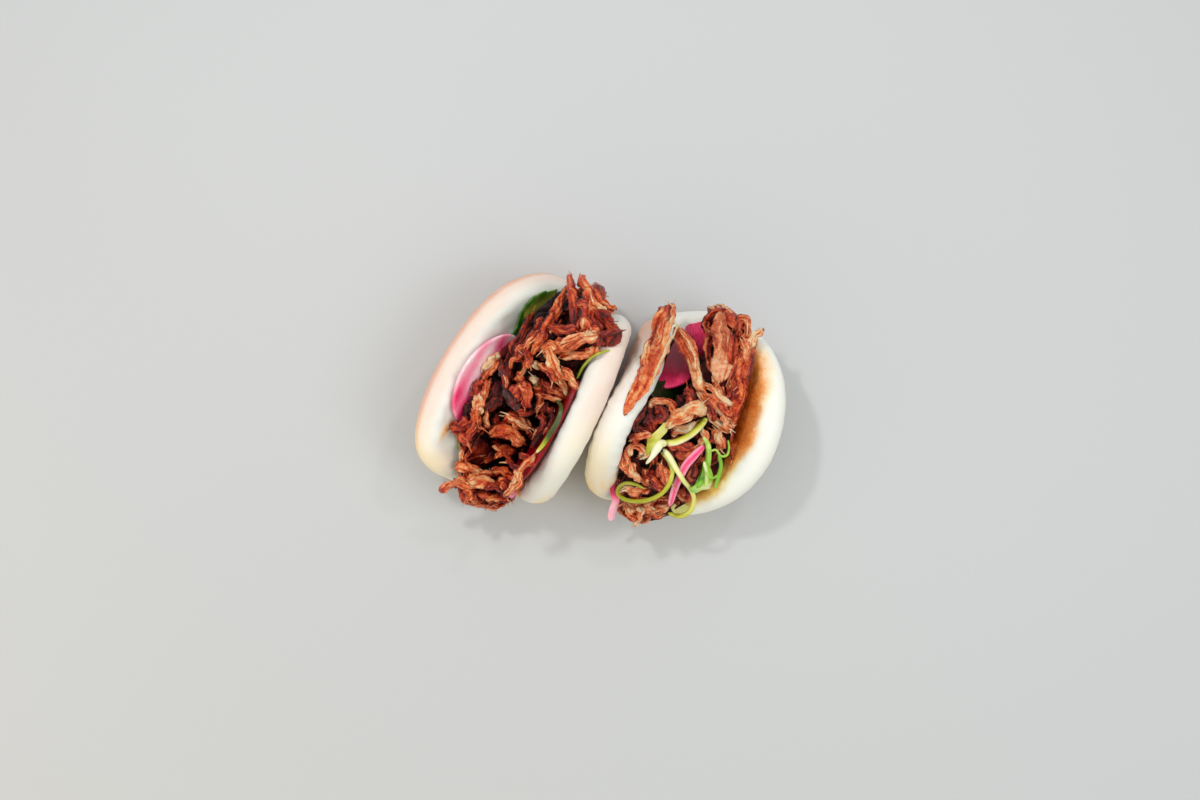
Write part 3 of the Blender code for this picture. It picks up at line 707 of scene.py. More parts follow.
def stain_left(a, b, face, V):
    p = proj(V)
    sp = 0.30 * np.exp(-(((p[:, 0] - 446) * 0.85 + (p[:, 1] - 430) * 0.5) / 4.0) ** 2 - ((-(p[:, 0] - 446) * 0.5 + (p[:, 1] - 430) * 0.85) / 12) ** 2)
    under = np.interp(a, (-1, -0.8, -0.6, -0.3, 0.05, 0.4, 0.9), (0.24, 0.42, 0.60, 0.74, 0.82, 0.80, 0.62))
    lo = np.interp(a, (-1, -0.8, -0.6, 0.0, 0.5, 0.94), (-0.20, -0.40, -0.60, -0.56, -0.54, -0.38))
    s = 0.40 * step(under - b, 0, 0.16) * step(b - lo, 0, 0.18)
    return np.clip(np.maximum(s, sp) * (face > 0.05), 0, 1)


def stain_and_shade_right(a, b, face, V):
    edge = np.interp(a, (-0.95, -0.80, -0.65, -0.465, -0.26, -0.05, 0.11, 0.29, 0.43, 0.53, 0.62, 0.8, 1.0),
                     (0.50, 0.66, 0.79, 0.88, 0.94, 0.975, 0.99, 0.99, 0.97, 0.93, 0.86, 0.70, 0.4))
    edge = edge + 0.010 * waves(a * 7, b * 3, 3, 6)
    top = np.interp(a, (-1, -0.8, -0.5, -0.3, 0.0, 0.5, 0.65, 0.9), (0.44, 0.84, 1.02, 1.0, 0.92, 0.84, 0.66, 0.3))
    dark = np.interp(a, (-0.5, -0.3, -0.1, 0.3, 0.45, 0.6), (0.0, 0.5, 1.0, 1.0, 0.6, 0.1))
    s = top * (0.22 * step(edge - b, -0.01, 0.08) + 0.42 * step(edge - b, 0.02, 0.20)) + 0.36 * dark * step(edge - b, 0.15, 0.32)
    s = s * step(b, 0.25, 0.5)
    s2 = 0.7 * step(0.5 - np.abs(b), 0, 0.1) * step(a, -0.9, -0.8) * (1 - step(a, 0.30, 0.50))
    # painted shadow: a faint patch on the lower part of the left wall's inner face
    painted_shadow_patch = 0.16 * step(-b, 0.2, 0.5) * (1 - step(-b, 0.70, 0.88)) * step(-a, -0.25, 0.2) * (1 - step(-a, 0.80, 0.96))
    return np.clip(np.maximum(np.maximum(s, s2), painted_shadow_patch) * (face > 0.05), 0, 1)


def painted_shade_left(a, b, face, V):
    # painted shade: warm tan on the outer faces (strong on the left side and by the fold), a band along the left rim,
    # the lower left end and the right wall beside the crease, in place of shade and warm bounce light
    side = step(-b, -0.2, 0.3)
    outer = step(-face, -0.05, 0.5)
    low = 1 - step(np.abs(b), 0.35, 0.80)
    end = 0.7 * step(-b, 0.5, 0.9) * step(-a, 0.62, 0.95) * (face > 0)
    band = 0.46 * step(-face, -0.85, -0.10) * side
    rimband = 0.42 * step(-b, 0.86, 1.0) * step(-face, -1.0, -0.5) * step(a, -1.0, -0.7) * (1 - step(a, 0.55, 0.85))
    wall = 0.42 * step(-face, -0.9, 0.1) * step(b, 0.55, 0.85) * step(a, -0.75, 0.1) * (1 - step(a, 0.80, 1.0))
    return np.clip(outer * (0.75 * side + (1 - side) * (0.05 + 0.8 * low)) + np.maximum(np.maximum(end, band), rimband) + wall, 0, 1)


def painted_shade_right(a, b, face, V):
    # painted shade: warm tan on the outer faces, most by the fold, and on the left side's rim, more towards its lower
    # end
    outer = step(-face, -0.05, 0.5)
    low = 1 - step(np.abs(b), 0.35, 0.85)
    side = step(-b, -0.2, 0.3)
    return outer * (0.06 + 0.75 * low) + 0.12 * step(-face, -0.6, 0.0) * side + 0.34 * step(-face, -0.9, -0.1) * side * step(-a, 0.0, 0.6)


add_bun('bun_left', LEFT, 21, stain_left, painted_shade_left)
add_bun('bun_right', RIGHT, 34, stain_and_shade_right, painted_shade_right)


# ---------------------------------------------------------------- thin layers along the dough
def layer(name, slot, nodes, B, pts, centre, thk, off, mat, nth=150, ne=4, ni=22, wob=0.0, wf=9.0, seed=1, attrs=None, scallop=0.0):
    o = loop_of(pts, nth)
    if scallop:
        c = np.array(centre)
        ph = np.arange(nth) / nth * 2 * np.pi
        k = 1 - scallop * ((ph * 26 / (2 * np.pi) + 0.3 * np.sin(3 * ph)) % 1.0) * (0.7 + 0.3 * np.sin(5 * ph + 1))
        o = c + (o - c) * k[:, None]
    hold = []

    def mid(a, b):
        hold.append((np.array(a), np.array(b)))
        w = wob * waves(a * wf, b * wf, seed, 8, 0.6, 1.8)
        return lay(B, a, b, off(a, b) + thk / 2 + w), normal(B, a, b)
    h = lambda a, b: thk / 2 + 0 * a
    V, F = slab(mid, h, h, o[:, 0], o[:, 1], centre, thk / 2, ne, ni)
    rings = hold[1:]
    n_in = ne + ni - 1
    order = rings[:n_in][::-1] + [rings[n_in]] + rings[n_in + 1:2 * n_in + 1]
    A = np.concatenate([[centre[0]]] + [r[0] for r in order] + [[centre[0]]])
    Bc = np.concatenate([[centre[1]]] + [r[1] for r in order] + [[centre[1]]])
    V = world(B, V)
    q, t = split(F)
    if volume(V, F) < 0:
        q, t = q[:, ::-1], t[:, ::-1]
    ob = make(name, V, q, t, attrs(A, Bc, V) if attrs else None, mat)
    own(ob, slot, *nodes)
    G.add(V, q, t)
    return ob


def volume(V, F):
    s = 0.0
    for f in F[::7]:
        for i in range(1, len(f) - 1):
            s += np.dot(V[f[0]] - V[0], np.cross(V[f[i]] - V[0], V[f[i + 1]] - V[0]))
    return s


def leaf_attrs(a, b, V):
    p = proj(V)
    d = np.abs((p[:, 0] - 540) * 0.55 + (p[:, 1] - 305) * 0.83)
    inside = (p[:, 0] > 524) & (p[:, 0] < 556)
    rib = np.exp(-(d / 3.4) ** 2) * inside + 0.22 * np.exp(-((np.abs((p[:, 0] - 538) * 0.9 + (p[:, 1] - 296) * 0.2)) / 1.6) ** 2)
    e = np.exp(-((p[:, 0] - 457) / 3.0) ** 2) * (p[:, 1] > 430) * 0.5
    return dict(rib=np.clip(rib * 1.0 + e, 0, 1), shade=np.ones(len(V)))


layer('leaf_left_green', 'leaf', ['leaf_left'], LEFT,
      [(0.94, -0.52), (0.90, -0.72), (0.80, -0.835), (0.68, -0.85), (0.56, -0.825), (0.39, -0.75),
       (0.0, -0.70), (-0.35, -0.70), (-0.6, -0.75), (-0.73, -0.69), (-0.80, -0.55), (-0.78, -0.40),
       (-0.4, -0.34), (0.1, -0.34), (0.6, -0.34), (0.88, -0.36)],
      (0.05, -0.52), 0.8, lambda a, b: GAP + 0.5 + 0 * a, LEAF_M, nth=260, wob=0.45, wf=9, seed=4, attrs=leaf_attrs, scallop=0.06)


def petal_attrs(a, b, V):
    p = proj(V)
    d = np.hypot((p[:, 0] - 462) / 12.0, (p[:, 1] - 407) / 22.0)
    pk = 0.18 + 0.40 * np.exp(-d ** 2) + 0.12 * np.sin((p[:, 0] * 0.8 + p[:, 1] * 0.45) * 0.5)
    pk = pk + 0.22 * np.exp(-(((p[:, 0] - 502) / 8) ** 2 + ((p[:, 1] - 345) / 7) ** 2))
    u = (p[:, 0] - 450) * 0.85 + (p[:, 1] - 400) * 0.52
    return dict(pk=pk, vein=u * 0.30, run=(p[:, 1] - 400) * 0.43)


layer('onion_left_petal_pink', 'onion_pink', ['onion_left_petal'], LEFT,
      [(0.37, -0.78), (0.28, -0.89), (0.10, -0.97), (-0.10, -0.99), (-0.30, -0.94), (-0.44, -0.86),
       (-0.50, -0.74), (-0.40, -0.62), (-0.1, -0.56), (0.15, -0.57), (0.34, -0.65)],
      (-0.06, -0.78), 1.7, lambda a, b: 2 * GAP + 1.2 + 0 * a, ONION_M, nth=160, wob=0.18, wf=5, seed=7, attrs=petal_attrs)


def slice_attrs(a, b, V):
    p = proj(V)
    pk = 0.84 - 0.58 * step(p[:, 1], 480, 497) - 0.2 * step(-p[:, 1], -400, -365) - 0.16 * step(p[:, 1], 450, 462) * (1 - step(p[:, 1], 470, 482))
    return dict(pk=pk, vein=b * 12.0, run=a * 40.0)


layer('onion_left_slice_dark', 'onion_dark', ['onion_left_slice'], LEFT,
      [(0.30, 0.88), (0.22, 0.66), (-0.1, 0.40), (-0.45, 0.30), (-0.75, 0.24), (-0.99, 0.22),
       (-1.0, 0.34), (-0.90, 0.62), (-0.72, 0.84), (-0.4, 0.94), (0.0, 0.96), (0.22, 0.95)],
      (-0.35, 0.66), 1.8, lambda a, b: GAP + 0.1 + slope(b) * (1 + 1.5 * step(-a, -0.2, 0.2)) + 0.5 * step(-a, -0.1, 0.3), SLICE_M, nth=140, wob=0.1, wf=5, seed=9, attrs=slice_attrs)


# ---------------------------------------------------------------- dark middle of the heaps, with painted shade
def open_side(V):
    """1 where a point can be seen from the side between its neighbours, 0 down in a pit"""
    p = proj(V)
    ix = np.clip((p[:, 0] - GX0).astype(int), 0, GW - 1)
    iy = np.clip((p[:, 1] - GY0).astype(int), 0, GH - 1)
    free = np.zeros(len(V))
    for k in range(12):
        ca, sa = math.cos(k * math.pi / 6), math.sin(k * math.pi / 6)
        clear = np.ones(len(V), bool)
        for d in (9, 13, 18, 25, 34, 46, 60):
            jx = np.clip(ix + int(round(ca * d)), 0, GW - 1)
            jy = np.clip(iy + int(round(sa * d)), 0, GH - 1)
            clear &= G.z[jy, jx] < V[:, 2] + d * 0.00044 * 0.42
        free += clear / 12.0
    return step(free, 0.05, 0.34)


CORE = {}


def core(name, node, B, H, seed, drop, na=100, nl=24, nu=90):
    H = dict(H)
    H['crown'] = (H['crown'][0], tuple(c - drop for c in H['crown'][1]))
    H['hollow'] = [(a, u, sa, su, d * 1.3) for (a, u, sa, su, d) in H['hollow']] + H.get('pits', [])
    V, F = heap(B, H, na, nl, nu)
    CORE[name] = (V[1:-1].reshape(na, nl + nu, 3), V)
    q, t = split(F)
    # rough meat texture on the upper side
    c = V.mean(0)
    r = V - c
    L = np.linalg.norm(r, axis=1, keepdims=True)
    w = waves(V[:, 0] * 900, V[:, 1] * 900 + V[:, 2] * 500, seed, 14, 0.5, 1.8)
    up = step(r[:, 2] / L[:, 0], -0.1, 0.5)
    V = V + r / L * (0.0007 * w * up)[:, None]
    n = len(V)
    rr = RND(seed)
    side = open_side(V)
    # painted shade: the core is dark, lighter where it shows from the side, and takes full painted crevice shade down
    # in the pits
    tint = 0.10 + 0.10 * waves(V[:, 0] * 400, V[:, 1] * 400, seed + 3, 8, 0.5, 1.5) + 0.15 * side
    ob = make(name, V, q, t, dict(tint=tint, groove=np.full(n, 0.3), fu=V[:, 1] * 1000, fv=V[:, 0] * 1000, painted_crevice_shade=1.0 - 0.70 * side, glaze=np.zeros(n)), MEAT_M)
    own(ob, 'meat', node)
    G.add(V, q, t)
    return ob


HL2 = dict(HL)
HL2['off'] = lambda a, b: off_left(a, b) + 1.5 * slope(b) * step(-a, -0.2, 0.2)
HL2['hollow'] = list(HL['hollow']) + [(-0.50, 0.17, 0.26, 0.12, -6.5), (-0.02, 0.17, 0.28, 0.12, -7.0)]
HL2['br'] = ((-1.16, -0.9, -0.7, -0.3, 0.0, 0.2, 0.4, 0.8, 1.13), (.10, .18, .30, .44, .58, .72, .84, .95, .80))
core('meat_left_core', 'meat_left', LEFT, HL2, 51, 6.5)
HR2 = dict(HR)
HR2['bl'] = ((-1.08, -0.8, -0.4, 0.2, 0.5, 0.64, 0.76, 1.0), (-.30, -.52, -.78, -.84, -.74, -.30, .34, .40))
HR2['a'] = (-1.08, 0.96)
HR2['to'] = ((0, -2, 1), (2, 3, 0))
core('meat_right_core', 'meat_right', RIGHT, HR2, 52, 6.0)


# ---------------------------------------------------------------- shreds of meat: bundles of fibres
class Lot:
    """one mesh made of many closed shreds"""

    def __init__(self):
        self.V, self.Q, self.T, self.A, self.n = [], [], [], {}, 0
        self.under = 1.0

    def add(self, V, Q, T, **attrs):
        self.V.append(V)
        self.Q.append(Q + self.n)
        self.T.append(T + self.n)
        attrs['under'] = np.full(len(V), self.under)
        for k, v in attrs.items():
            self.A.setdefault(k, []).append(v)
        self.n += len(V)

    def done(self, name, mat):
        V = np.concatenate(self.V)
        # painted crevice shade of the lot, scaled by each piece's under value
        self.A['painted_crevice_shade'] = [painted_shade_depth(V) * np.concatenate(self.A.pop('under'))]
        ob = make(name, V, np.concatenate(self.Q), np.concatenate(self.T), {k: np.concatenate(v) for k, v in self.A.items()}, mat)
        print(name, 'verts', len(V), 'faces', len(ob.data.polygons))
        return ob


def blur(Z, k):
    for _ in range(k):
        Z = (Z + np.roll(Z, 1, 0) + np.roll(Z, -1, 0) + np.roll(Z, 1, 1) + np.roll(Z, -1, 1)) / 5
    return Z


def painted_shade_depth(V):
    """how far a point lies under the pieces round it (0..1), less where it shows from the side; used as painted crevice
    shade
    """
    Z = G.z.copy()
    for _ in range(3):
        Z = np.maximum.reduce([Z, np.roll(Z, 1, 0), np.roll(Z, -1, 0), np.roll(Z, 1, 1), np.roll(Z, -1, 1)])
    Z = blur(Z, 14)
    p = proj(V)
    ix = np.clip((p[:, 0] - GX0).astype(int), 0, GW - 1)
    iy = np.clip((p[:, 1] - GY0).astype(int), 0, GH - 1)
    under = np.clip((Z[iy, ix] - V[:, 2] - 0.0008) / 0.0050, 0, 1)
    return under * (1 - 0.74 * open_side(V))


def tube_faces(n, m):
    i = np.arange(n - 1)[:, None]
    j = np.arange(m)[None, :]
    k = (j + 1) % m
    Q = np.stack([i * m + j, i * m + k, (i + 1) * m + k, (i + 1) * m + j], -1).reshape(-1, 4)
    a, b = n * m, n * m + 1
    jj = np.arange(m)
    T = np.concatenate([np.stack([np.full(m, a), (jj + 1) % m, jj], -1), np.stack([np.full(m, b), (n - 1) * m + jj, (n - 1) * m + (jj + 1) % m], -1)])
    return Q, T


def smooth1(z, k):
    for _ in range(k):
        e = np.concatenate([z[:1], z, z[-1:]])
        z = 0.25 * e[:-2] + 0.5 * e[1:-1] + 0.25 * e[2:]
    return z


def frames(W, roll):
    T = np.gradient(W, axis=0)
    T = T / (np.linalg.norm(T, axis=1, keepdims=True) + 1e-12)
    up = np.array([0, 0, 1.0])
    S = np.cross(T, up)
    S = S / (np.linalg.norm(S, axis=1, keepdims=True) + 1e-9)
    N = np.cross(S, T)
    c, s = np.cos(roll)[:, None], np.sin(roll)[:, None]
    return T, c * S + s * N, -s * S + c * N


def shred(lot, pts, w, tint, rt=0.62, lift=0.0, sink=0.3, seed=0, nf=None, m=30, blunt=12.0, fray=3, zs=None, wig=0.9, slope=0.55, stamp=True, bank=0.8, twist=0.8, base=0.62, res=1.25, fib=0.5, glaze=0.15, full=0.5):
    """one torn piece: pts in plan steps, w its width in plan steps"""
    r = RND(seed + 1000)
    P0 = np.array(pts, float)
    length = np.linalg.norm(np.diff(P0, axis=0), axis=1).sum()
    n = int(max(18, length / res))
    C = path_of(pts, n)
    s = np.linspace(0, 1, n)
    d = np.gradient(C, axis=0)
    d = d / (np.linalg.norm(d, axis=1, keepdims=True) + 1e-9)
    nn = np.stack([-d[:, 1], d[:, 0]], -1)
    C = C + nn * (wig * (np.sin(s * r.uniform(4, 8) + r.uniform(0, 6)) + 0.5 * np.sin(s * r.uniform(10, 17) + r.uniform(0, 6))))[:, None]
    w = np.interp(s, np.linspace(0, 1, len(w)), w) if np.ndim(w) else w + 0 * s
    w = 1.14 * w.max() * (full + (1 - full) * w / w.max()) * (1 + 0.10 * np.sin(s * r.uniform(7, 14) + r.uniform(0, 6)))
    nf = nf or int(np.clip(round(w.mean() * 0.6), 5, 12))
    wm = w * 0.4375
    tm = wm * rt
    side = nn * (w * 0.32)[:, None]
    zl = G.at(C[:, 0] - side[:, 0], C[:, 1] - side[:, 1], 1.5)
    zc = G.at(C[:, 0], C[:, 1], 1.5)
    zr = G.at(C[:, 0] + side[:, 0], C[:, 1] + side[:, 1], 1.5)
    if zs is None:
        z = np.maximum(zc, np.minimum(np.maximum(zl, zr), zc + 0.003))
        z = smooth1(z, 6)
        ds = length / n * 0.00044
        for i in range(1, n):
            z[i] = max(z[i], z[i - 1] - slope * ds)
        for i in range(n - 2, -1, -1):
            z[i] = max(z[i], z[i + 1] - slope * ds)
        z = smooth1(z, 8)
        z = z + ((0.5 - sink) * tm + lift) * MM
    else:
        z = np.interp(s, np.linspace(0, 1, len(zs)), zs) * MM
    W = unproj(C[:, 0], C[:, 1], z)
    roll = np.clip(np.arctan2(smooth1(zl - zr, 8), np.maximum(w, 3) * 0.64 * 0.00044), -0.9, 0.9) * bank
    T, S, N = frames(W, roll)
    body(lot, W, T, S, N, wm, tm, tint, seed, r, nf, m, blunt, fray, stamp, twist, base, fib, glaze, length)
    return W


def shred_on(lot, W, nrm, w, tint, seed=0, rt=0.6, m=20, glaze=0.15, fib=0.4, fray=1, under=1.0, res=0.0008):
    """torn piece along a path in space with the outward direction given; w in mm"""
    r = RND(seed + 5000)
    length = np.linalg.norm(np.diff(W, axis=0), axis=1).sum()
    n = int(max(16, length / res))
    W = path_of(W, n)
    nrm = path_of(nrm, n)
    s = np.linspace(0, 1, n)
    w = np.interp(s, np.linspace(0, 1, len(w)), w) * (1 + 0.10 * np.sin(s * r.uniform(7, 14) + r.uniform(0, 6)))
    T = np.gradient(W, axis=0)
    T = T / (np.linalg.norm(T, axis=1, keepdims=True) + 1e-12)
    S = np.cross(T, nrm)
    S = S / (np.linalg.norm(S, axis=1, keepdims=True) + 1e-9)
    N = np.cross(S, T)
    W = W + S * (0.4 * np.sin(s * r.uniform(4, 9) + r.uniform(0, 6)))[:, None] * MM
    nf = int(np.clip(round(w.mean() / 0.4375 * 0.6), 5, 12))
    body(lot, W, T, S, N, w, w * rt, tint, seed, r, nf, m, 12.0, fray, True, 0.8, 0.5, fib, glaze, length / 0.00044, under)


def body(lot, W, T, S, N, wm, tm, tint, seed, r, nf, m, blunt, fray, stamp, twist, base, fib, glaze, length, under=1.0):
    n = len(W)
    s = np.linspace(0, 1, n)
    w = wm / 0.4375
    th = np.arange(m) / m * 2 * np.pi
    k = np.arange(nf)
    a0 = 2 * np.pi * (k + r.uniform(-0.3, 0.3, nf)) / nf
    r0 = r.uniform(0.42, 0.74, nf)
    rf = r.uniform(0.22, 0.40, nf) * (1.0 + 0.25 * (9 - nf) / 6)
    s0 = np.where(r.rand(nf) < 0.4, r.uniform(-0.1, 0.10, nf), -0.3)
    s1 = np.where(r.rand(nf) < 0.4, r.uniform(0.90, 1.1, nf), 1.3)
    tw = r.uniform(-1, 1) * twist
    A = a0[None] + tw * s[:, None] + 0.22 * np.sin(s[:, None] * r.uniform(3, 9, nf)[None] + r.uniform(0, 6, nf)[None])
    R0 = r0[None] * (1 + 0.16 * np.sin(s[:, None] * r.uniform(3, 12, nf)[None] + r.uniform(0, 6, nf)[None]))
    env = step(s[:, None], s0[None], s0[None] + 0.12) * (1 - step(s[:, None], s1[None] - 0.12, s1[None]))
    RF = rf[None] * (1 + 0.2 * np.sin(s[:, None] * r.uniform(6, 20, nf)[None] + r.uniform(0, 6, nf)[None])) * np.sqrt(np.clip(env, 1e-4, 1))
    cx, cy = R0 * np.cos(A), R0 * np.sin(A)
    dot = cx[:, :, None] * np.cos(th) + cy[:, :, None] * np.sin(th)
    disc = dot ** 2 - (cx ** 2 + cy ** 2)[:, :, None] + (RF ** 2)[:, :, None]
    tt = np.where(disc > 0, dot + np.sqrt(np.maximum(disc, 0)), 0)
    R = np.maximum(tt.max(1), base)
    Rb = R.copy()
    for _ in range(3):
        Rb = 0.5 * Rb + 0.25 * np.roll(Rb, 1, 1) + 0.25 * np.roll(Rb, -1, 1)
    # painted shade: darker in the valleys between fibres and where the piece is thin
    groove = np.clip((Rb - R) / 0.11 + 0.35, 0, 1) * 0.6 + 0.5 * np.clip((0.70 - R) / 0.3, 0, 1)
    x = th[None] * 1.0
    R = 0.35 * Rb + 0.65 * R
    # painted shade on the lower side and flanks of the piece
    groove = groove + 0.55 * np.clip(0.35 - np.sin(x), 0, 1.2)
    rough = np.interp(base, (0.62, 0.78), (1.0, 0.5))
    R = R * (1 + 0.08 * rough * waves(s[:, None] * length * 0.35 + 0 * x, x * 2.0, seed + 17, 8, 0.5, 2.0))
    R = R * (1 + 0.075 * rough * waves(s[:, None] * length * 1.0 + 0 * x, x * 3.6, seed + 31, 8, 0.6, 1.8))
    # uneven outline: two broad lobes that wander
    R = R * (1 + 0.10 * np.sin(2 * x + r.uniform(0, 6) + s[:, None] * r.uniform(2, 6)) + 0.07 * np.sin(x + r.uniform(0, 6) + s[:, None] * r.uniform(4, 9)))
    e = (1 - np.abs(2 * s - 1) ** blunt) ** 0.5
    e = np.clip(e, 0.45, 1)
    X = (wm / 2 * e)[:, None] * R * np.cos(th)
    Y = (tm / 2 * e)[:, None] * R * np.sin(th)
    # torn ends: each side of the piece stops somewhere else
    tear = np.zeros((n, m))
    for end in (0, 1):
        q = 0.0
        for f in (1, 2, 3, 5, 8):
            q = q + r.uniform(0.4, 1.0) / f ** 0.6 * np.sin(f * th + r.uniform(0, 6))
        wt = step(1 - s if end == 0 else s, 0.72, 1.0)
        tear += wt[:, None] * q[None] * (0.15 * min(wm[0 if end == 0 else -1], 5.0)) * (-1 if end == 0 else 1)
    V = W[:, None, :] + (X[:, :, None] * S[:, None, :] + Y[:, :, None] * N[:, None, :] + tear[:, :, None] * T[:, None, :]) * MM
    V = np.concatenate([V.reshape(-1, 3), V[0].mean(0, keepdims=True), V[-1].mean(0, keepdims=True)])
    Q, Tr = tube_faces(n, m)
    fu = np.concatenate([np.repeat(s * length * 0.44, m), [0], [length * 0.44]])
    arc = (th[None] * wm[:, None] / 2).ravel()
    fv = np.concatenate([arc, [0], [0]])
    tn = tint + r.uniform(-0.12, 0.12) + 0.08 * np.sin(s * r.uniform(3, 9) + r.uniform(0, 6))
    tn = np.concatenate([np.repeat(tn, m), [tint], [tint]])
    gv = np.concatenate([groove.ravel(), [0.6], [0.6]])
    lot.under = under
    lot.add(V, Q, Tr, tint=tn, groove=gv, fu=fu, fv=fv + seed * 3.1, glaze=np.full(len(V), glaze))
    if stamp:
        G.add(V, Q)
    # single fibres lying on the piece and running out past its ends
    nfib = int(round(fib * np.clip(w.mean() * 0.55, 2, 9)))
    for f in range(nfib):
        fiber(lot, W, S, N, T, X, Y, wm, tm, e, s, r, tint, seed * 31 + f, m, glaze=glaze)
    for end, i, sg in ((0, 1, -1.0), (1, n - 2, 1.0)):
        for f in range(r.randint(0, fray + 1) if fray else 0):
            base_p = W[i] + (S[i] * r.uniform(-0.36, 0.36) * wm[i] * e[i] + N[i] * r.uniform(-0.1, 0.3) * tm[i] * e[i]) * MM - T[i] * sg * 0.0012
            L = r.uniform(1.5, 5.0)
            hair(lot, base_p, T[i] * sg + S[i] * r.uniform(-0.55, 0.55) + N[i] * r.uniform(-0.25, 0.35), L, r.uniform(0.2, 0.45), tint + r.uniform(-0.05, 0.2), r, seed + f)


def fiber(lot, W, S, N, T, X, Y, wm, tm, e, s, r, tint, seed, m0, m=6, glaze=0.15):
    """one fibre along the outside of a piece"""
    a = r.uniform(0.10, 0.90) * np.pi
    length = np.linalg.norm(np.diff(W, axis=0), axis=1).sum()
    ov = min(0.12, 0.0020 / length)
    j0, j1 = r.uniform(-ov, 0.45), r.uniform(0.55, 1 + ov)
    k = max(7, int((j1 - j0) * len(s) * 0.5))
    u = np.linspace(j0, j1, k)
    uc = np.clip(u, 0, 1)
    idx = uc * (len(s) - 1)
    i0 = np.clip(idx.astype(int), 0, len(s) - 2)
    fr = (idx - i0)
    ang = a + 0.35 * np.sin(u * r.uniform(2, 6) + r.uniform(0, 6)) + r.uniform(-0.4, 0.4) * (u - 0.5)
    col = (ang / (2 * np.pi) * m0)
    c0 = np.floor(col).astype(int)
    cf = col - c0

    def pick(M):
        a0 = M[i0, c0 % m0] * (1 - cf) + M[i0, (c0 + 1) % m0] * cf
        a1 = M[i0 + 1, c0 % m0] * (1 - cf) + M[i0 + 1, (c0 + 1) % m0] * cf
        return a0 * (1 - fr) + a1 * fr

    def along(M):
        return M[i0] * (1 - fr)[:, None] + M[i0 + 1] * fr[:, None]
    x, y = pick(X), pick(Y)
    P = along(W) + (x[:, None] * along(S) + y[:, None] * along(N)) * 0.96 * MM
    over = (u - uc) * length
    P = P + along(T) * over[:, None]
    lift_ = np.abs(over) * r.uniform(-0.4, 0.5)
    P[:, 2] += lift_
    P = P + along(S) * (over * r.uniform(-0.5, 0.5))[:, None]
    if r.rand() < 0.45:
        # peels away from the side of the piece
        sgn = 1.0 if math.cos(a) > 0 else -1.0
        away = np.clip(u - r.uniform(0.35, 0.75), 0, 1) if r.rand() < 0.5 else np.clip(r.uniform(0.25, 0.65) - u, 0, 1)
        P = P + along(S) * (sgn * away ** 1.5 * min(length, 0.009) * r.uniform(0.15, 0.5))[:, None]
    rad = r.uniform(0.16, 0.38)
    t = np.linspace(0, 1, k)
    rr = rad * np.clip((1 - np.abs(2 * t - 1) ** 6) ** 0.5, 0.25, 1) * (1 + 0.15 * np.sin(t * r.uniform(6, 14) + r.uniform(0, 6)))
    T2, S2, N2 = frames(P, 0 * t)
    th = np.arange(m) / m * 2 * np.pi
    V = P[:, None, :] + ((rr[:, None] * 1.25 * np.cos(th))[:, :, None] * S2[:, None, :] + (rr[:, None] * np.sin(th))[:, :, None] * N2[:, None, :]) * MM
    V = np.concatenate([V.reshape(-1, 3), P[:1], P[-1:]])
    Q, Tr = tube_faces(k, m)
    L = length * 1000
    fu = np.concatenate([np.repeat(u * L, m), [0], [L]])
    fv = np.concatenate([(th[None] * rad + 0 * u[:, None]).ravel(), [0], [0]]) + seed * 1.7
    tt = tint + r.uniform(-0.10, 0.08)
    lot.add(V, Q, Tr, tint=np.full(len(V), tt), groove=np.full(len(V), 0.15), fu=fu, fv=fv, glaze=np.full(len(V), glaze))


def hair(lot, p, d, L, rad, tint, r, seed, n=8, m=5, droop=0.35):
    d = d / np.linalg.norm(d)
    s = np.linspace(0, 1, n)
    curl = np.array([r.uniform(-1, 1), r.uniform(-1, 1), r.uniform(-0.6, 0.4) - droop])
    W = p + (d * s[:, None] * L + curl * (s[:, None] ** 2) * L * 0.35) * MM
    W[:, 2] = np.maximum(W[:, 2], 0.0015)
    T, S, N = frames(W, 0 * s)
    th = np.arange(m) / m * 2 * np.pi
    rr = rad * (1 - 0.72 * s ** 1.3) * (1 + 0.12 * np.sin(s * 9 + seed))
    V = W[:, None, :] + ((rr[:, None] * np.cos(th))[:, :, None] * S[:, None, :] * 1.3 + (rr[:, None] * np.sin(th))[:, :, None] * N[:, None, :]) * MM
    V = np.concatenate([V.reshape(-1, 3), W[:1], W[-1:] + T[-1:] * rad * 0.3 * MM])
    Q, Tr = tube_faces(n, m)
    fu = np.concatenate([np.repeat(s * L, m), [0], [L]])
    fv = np.concatenate([(th[None] * rad + 0 * s[:, None]).ravel(), [0], [0]]) + seed
    lot.add(V, Q, Tr, tint=np.full(len(V), tint), groove=np.zeros(len(V)), fu=fu, fv=fv, glaze=np.full(len(V), 0.1))


def inside(poly, x, y):
    c = False
    n = len(poly)
    for i in range(n):
        x0, y0 = poly[i]
        x1, y1 = poly[(i + 1) % n]
        if (y0 > y) != (y1 > y) and x < (x1 - x0) * (y - y0) / (y1 - y0) + x0:
            c = not c
    return c


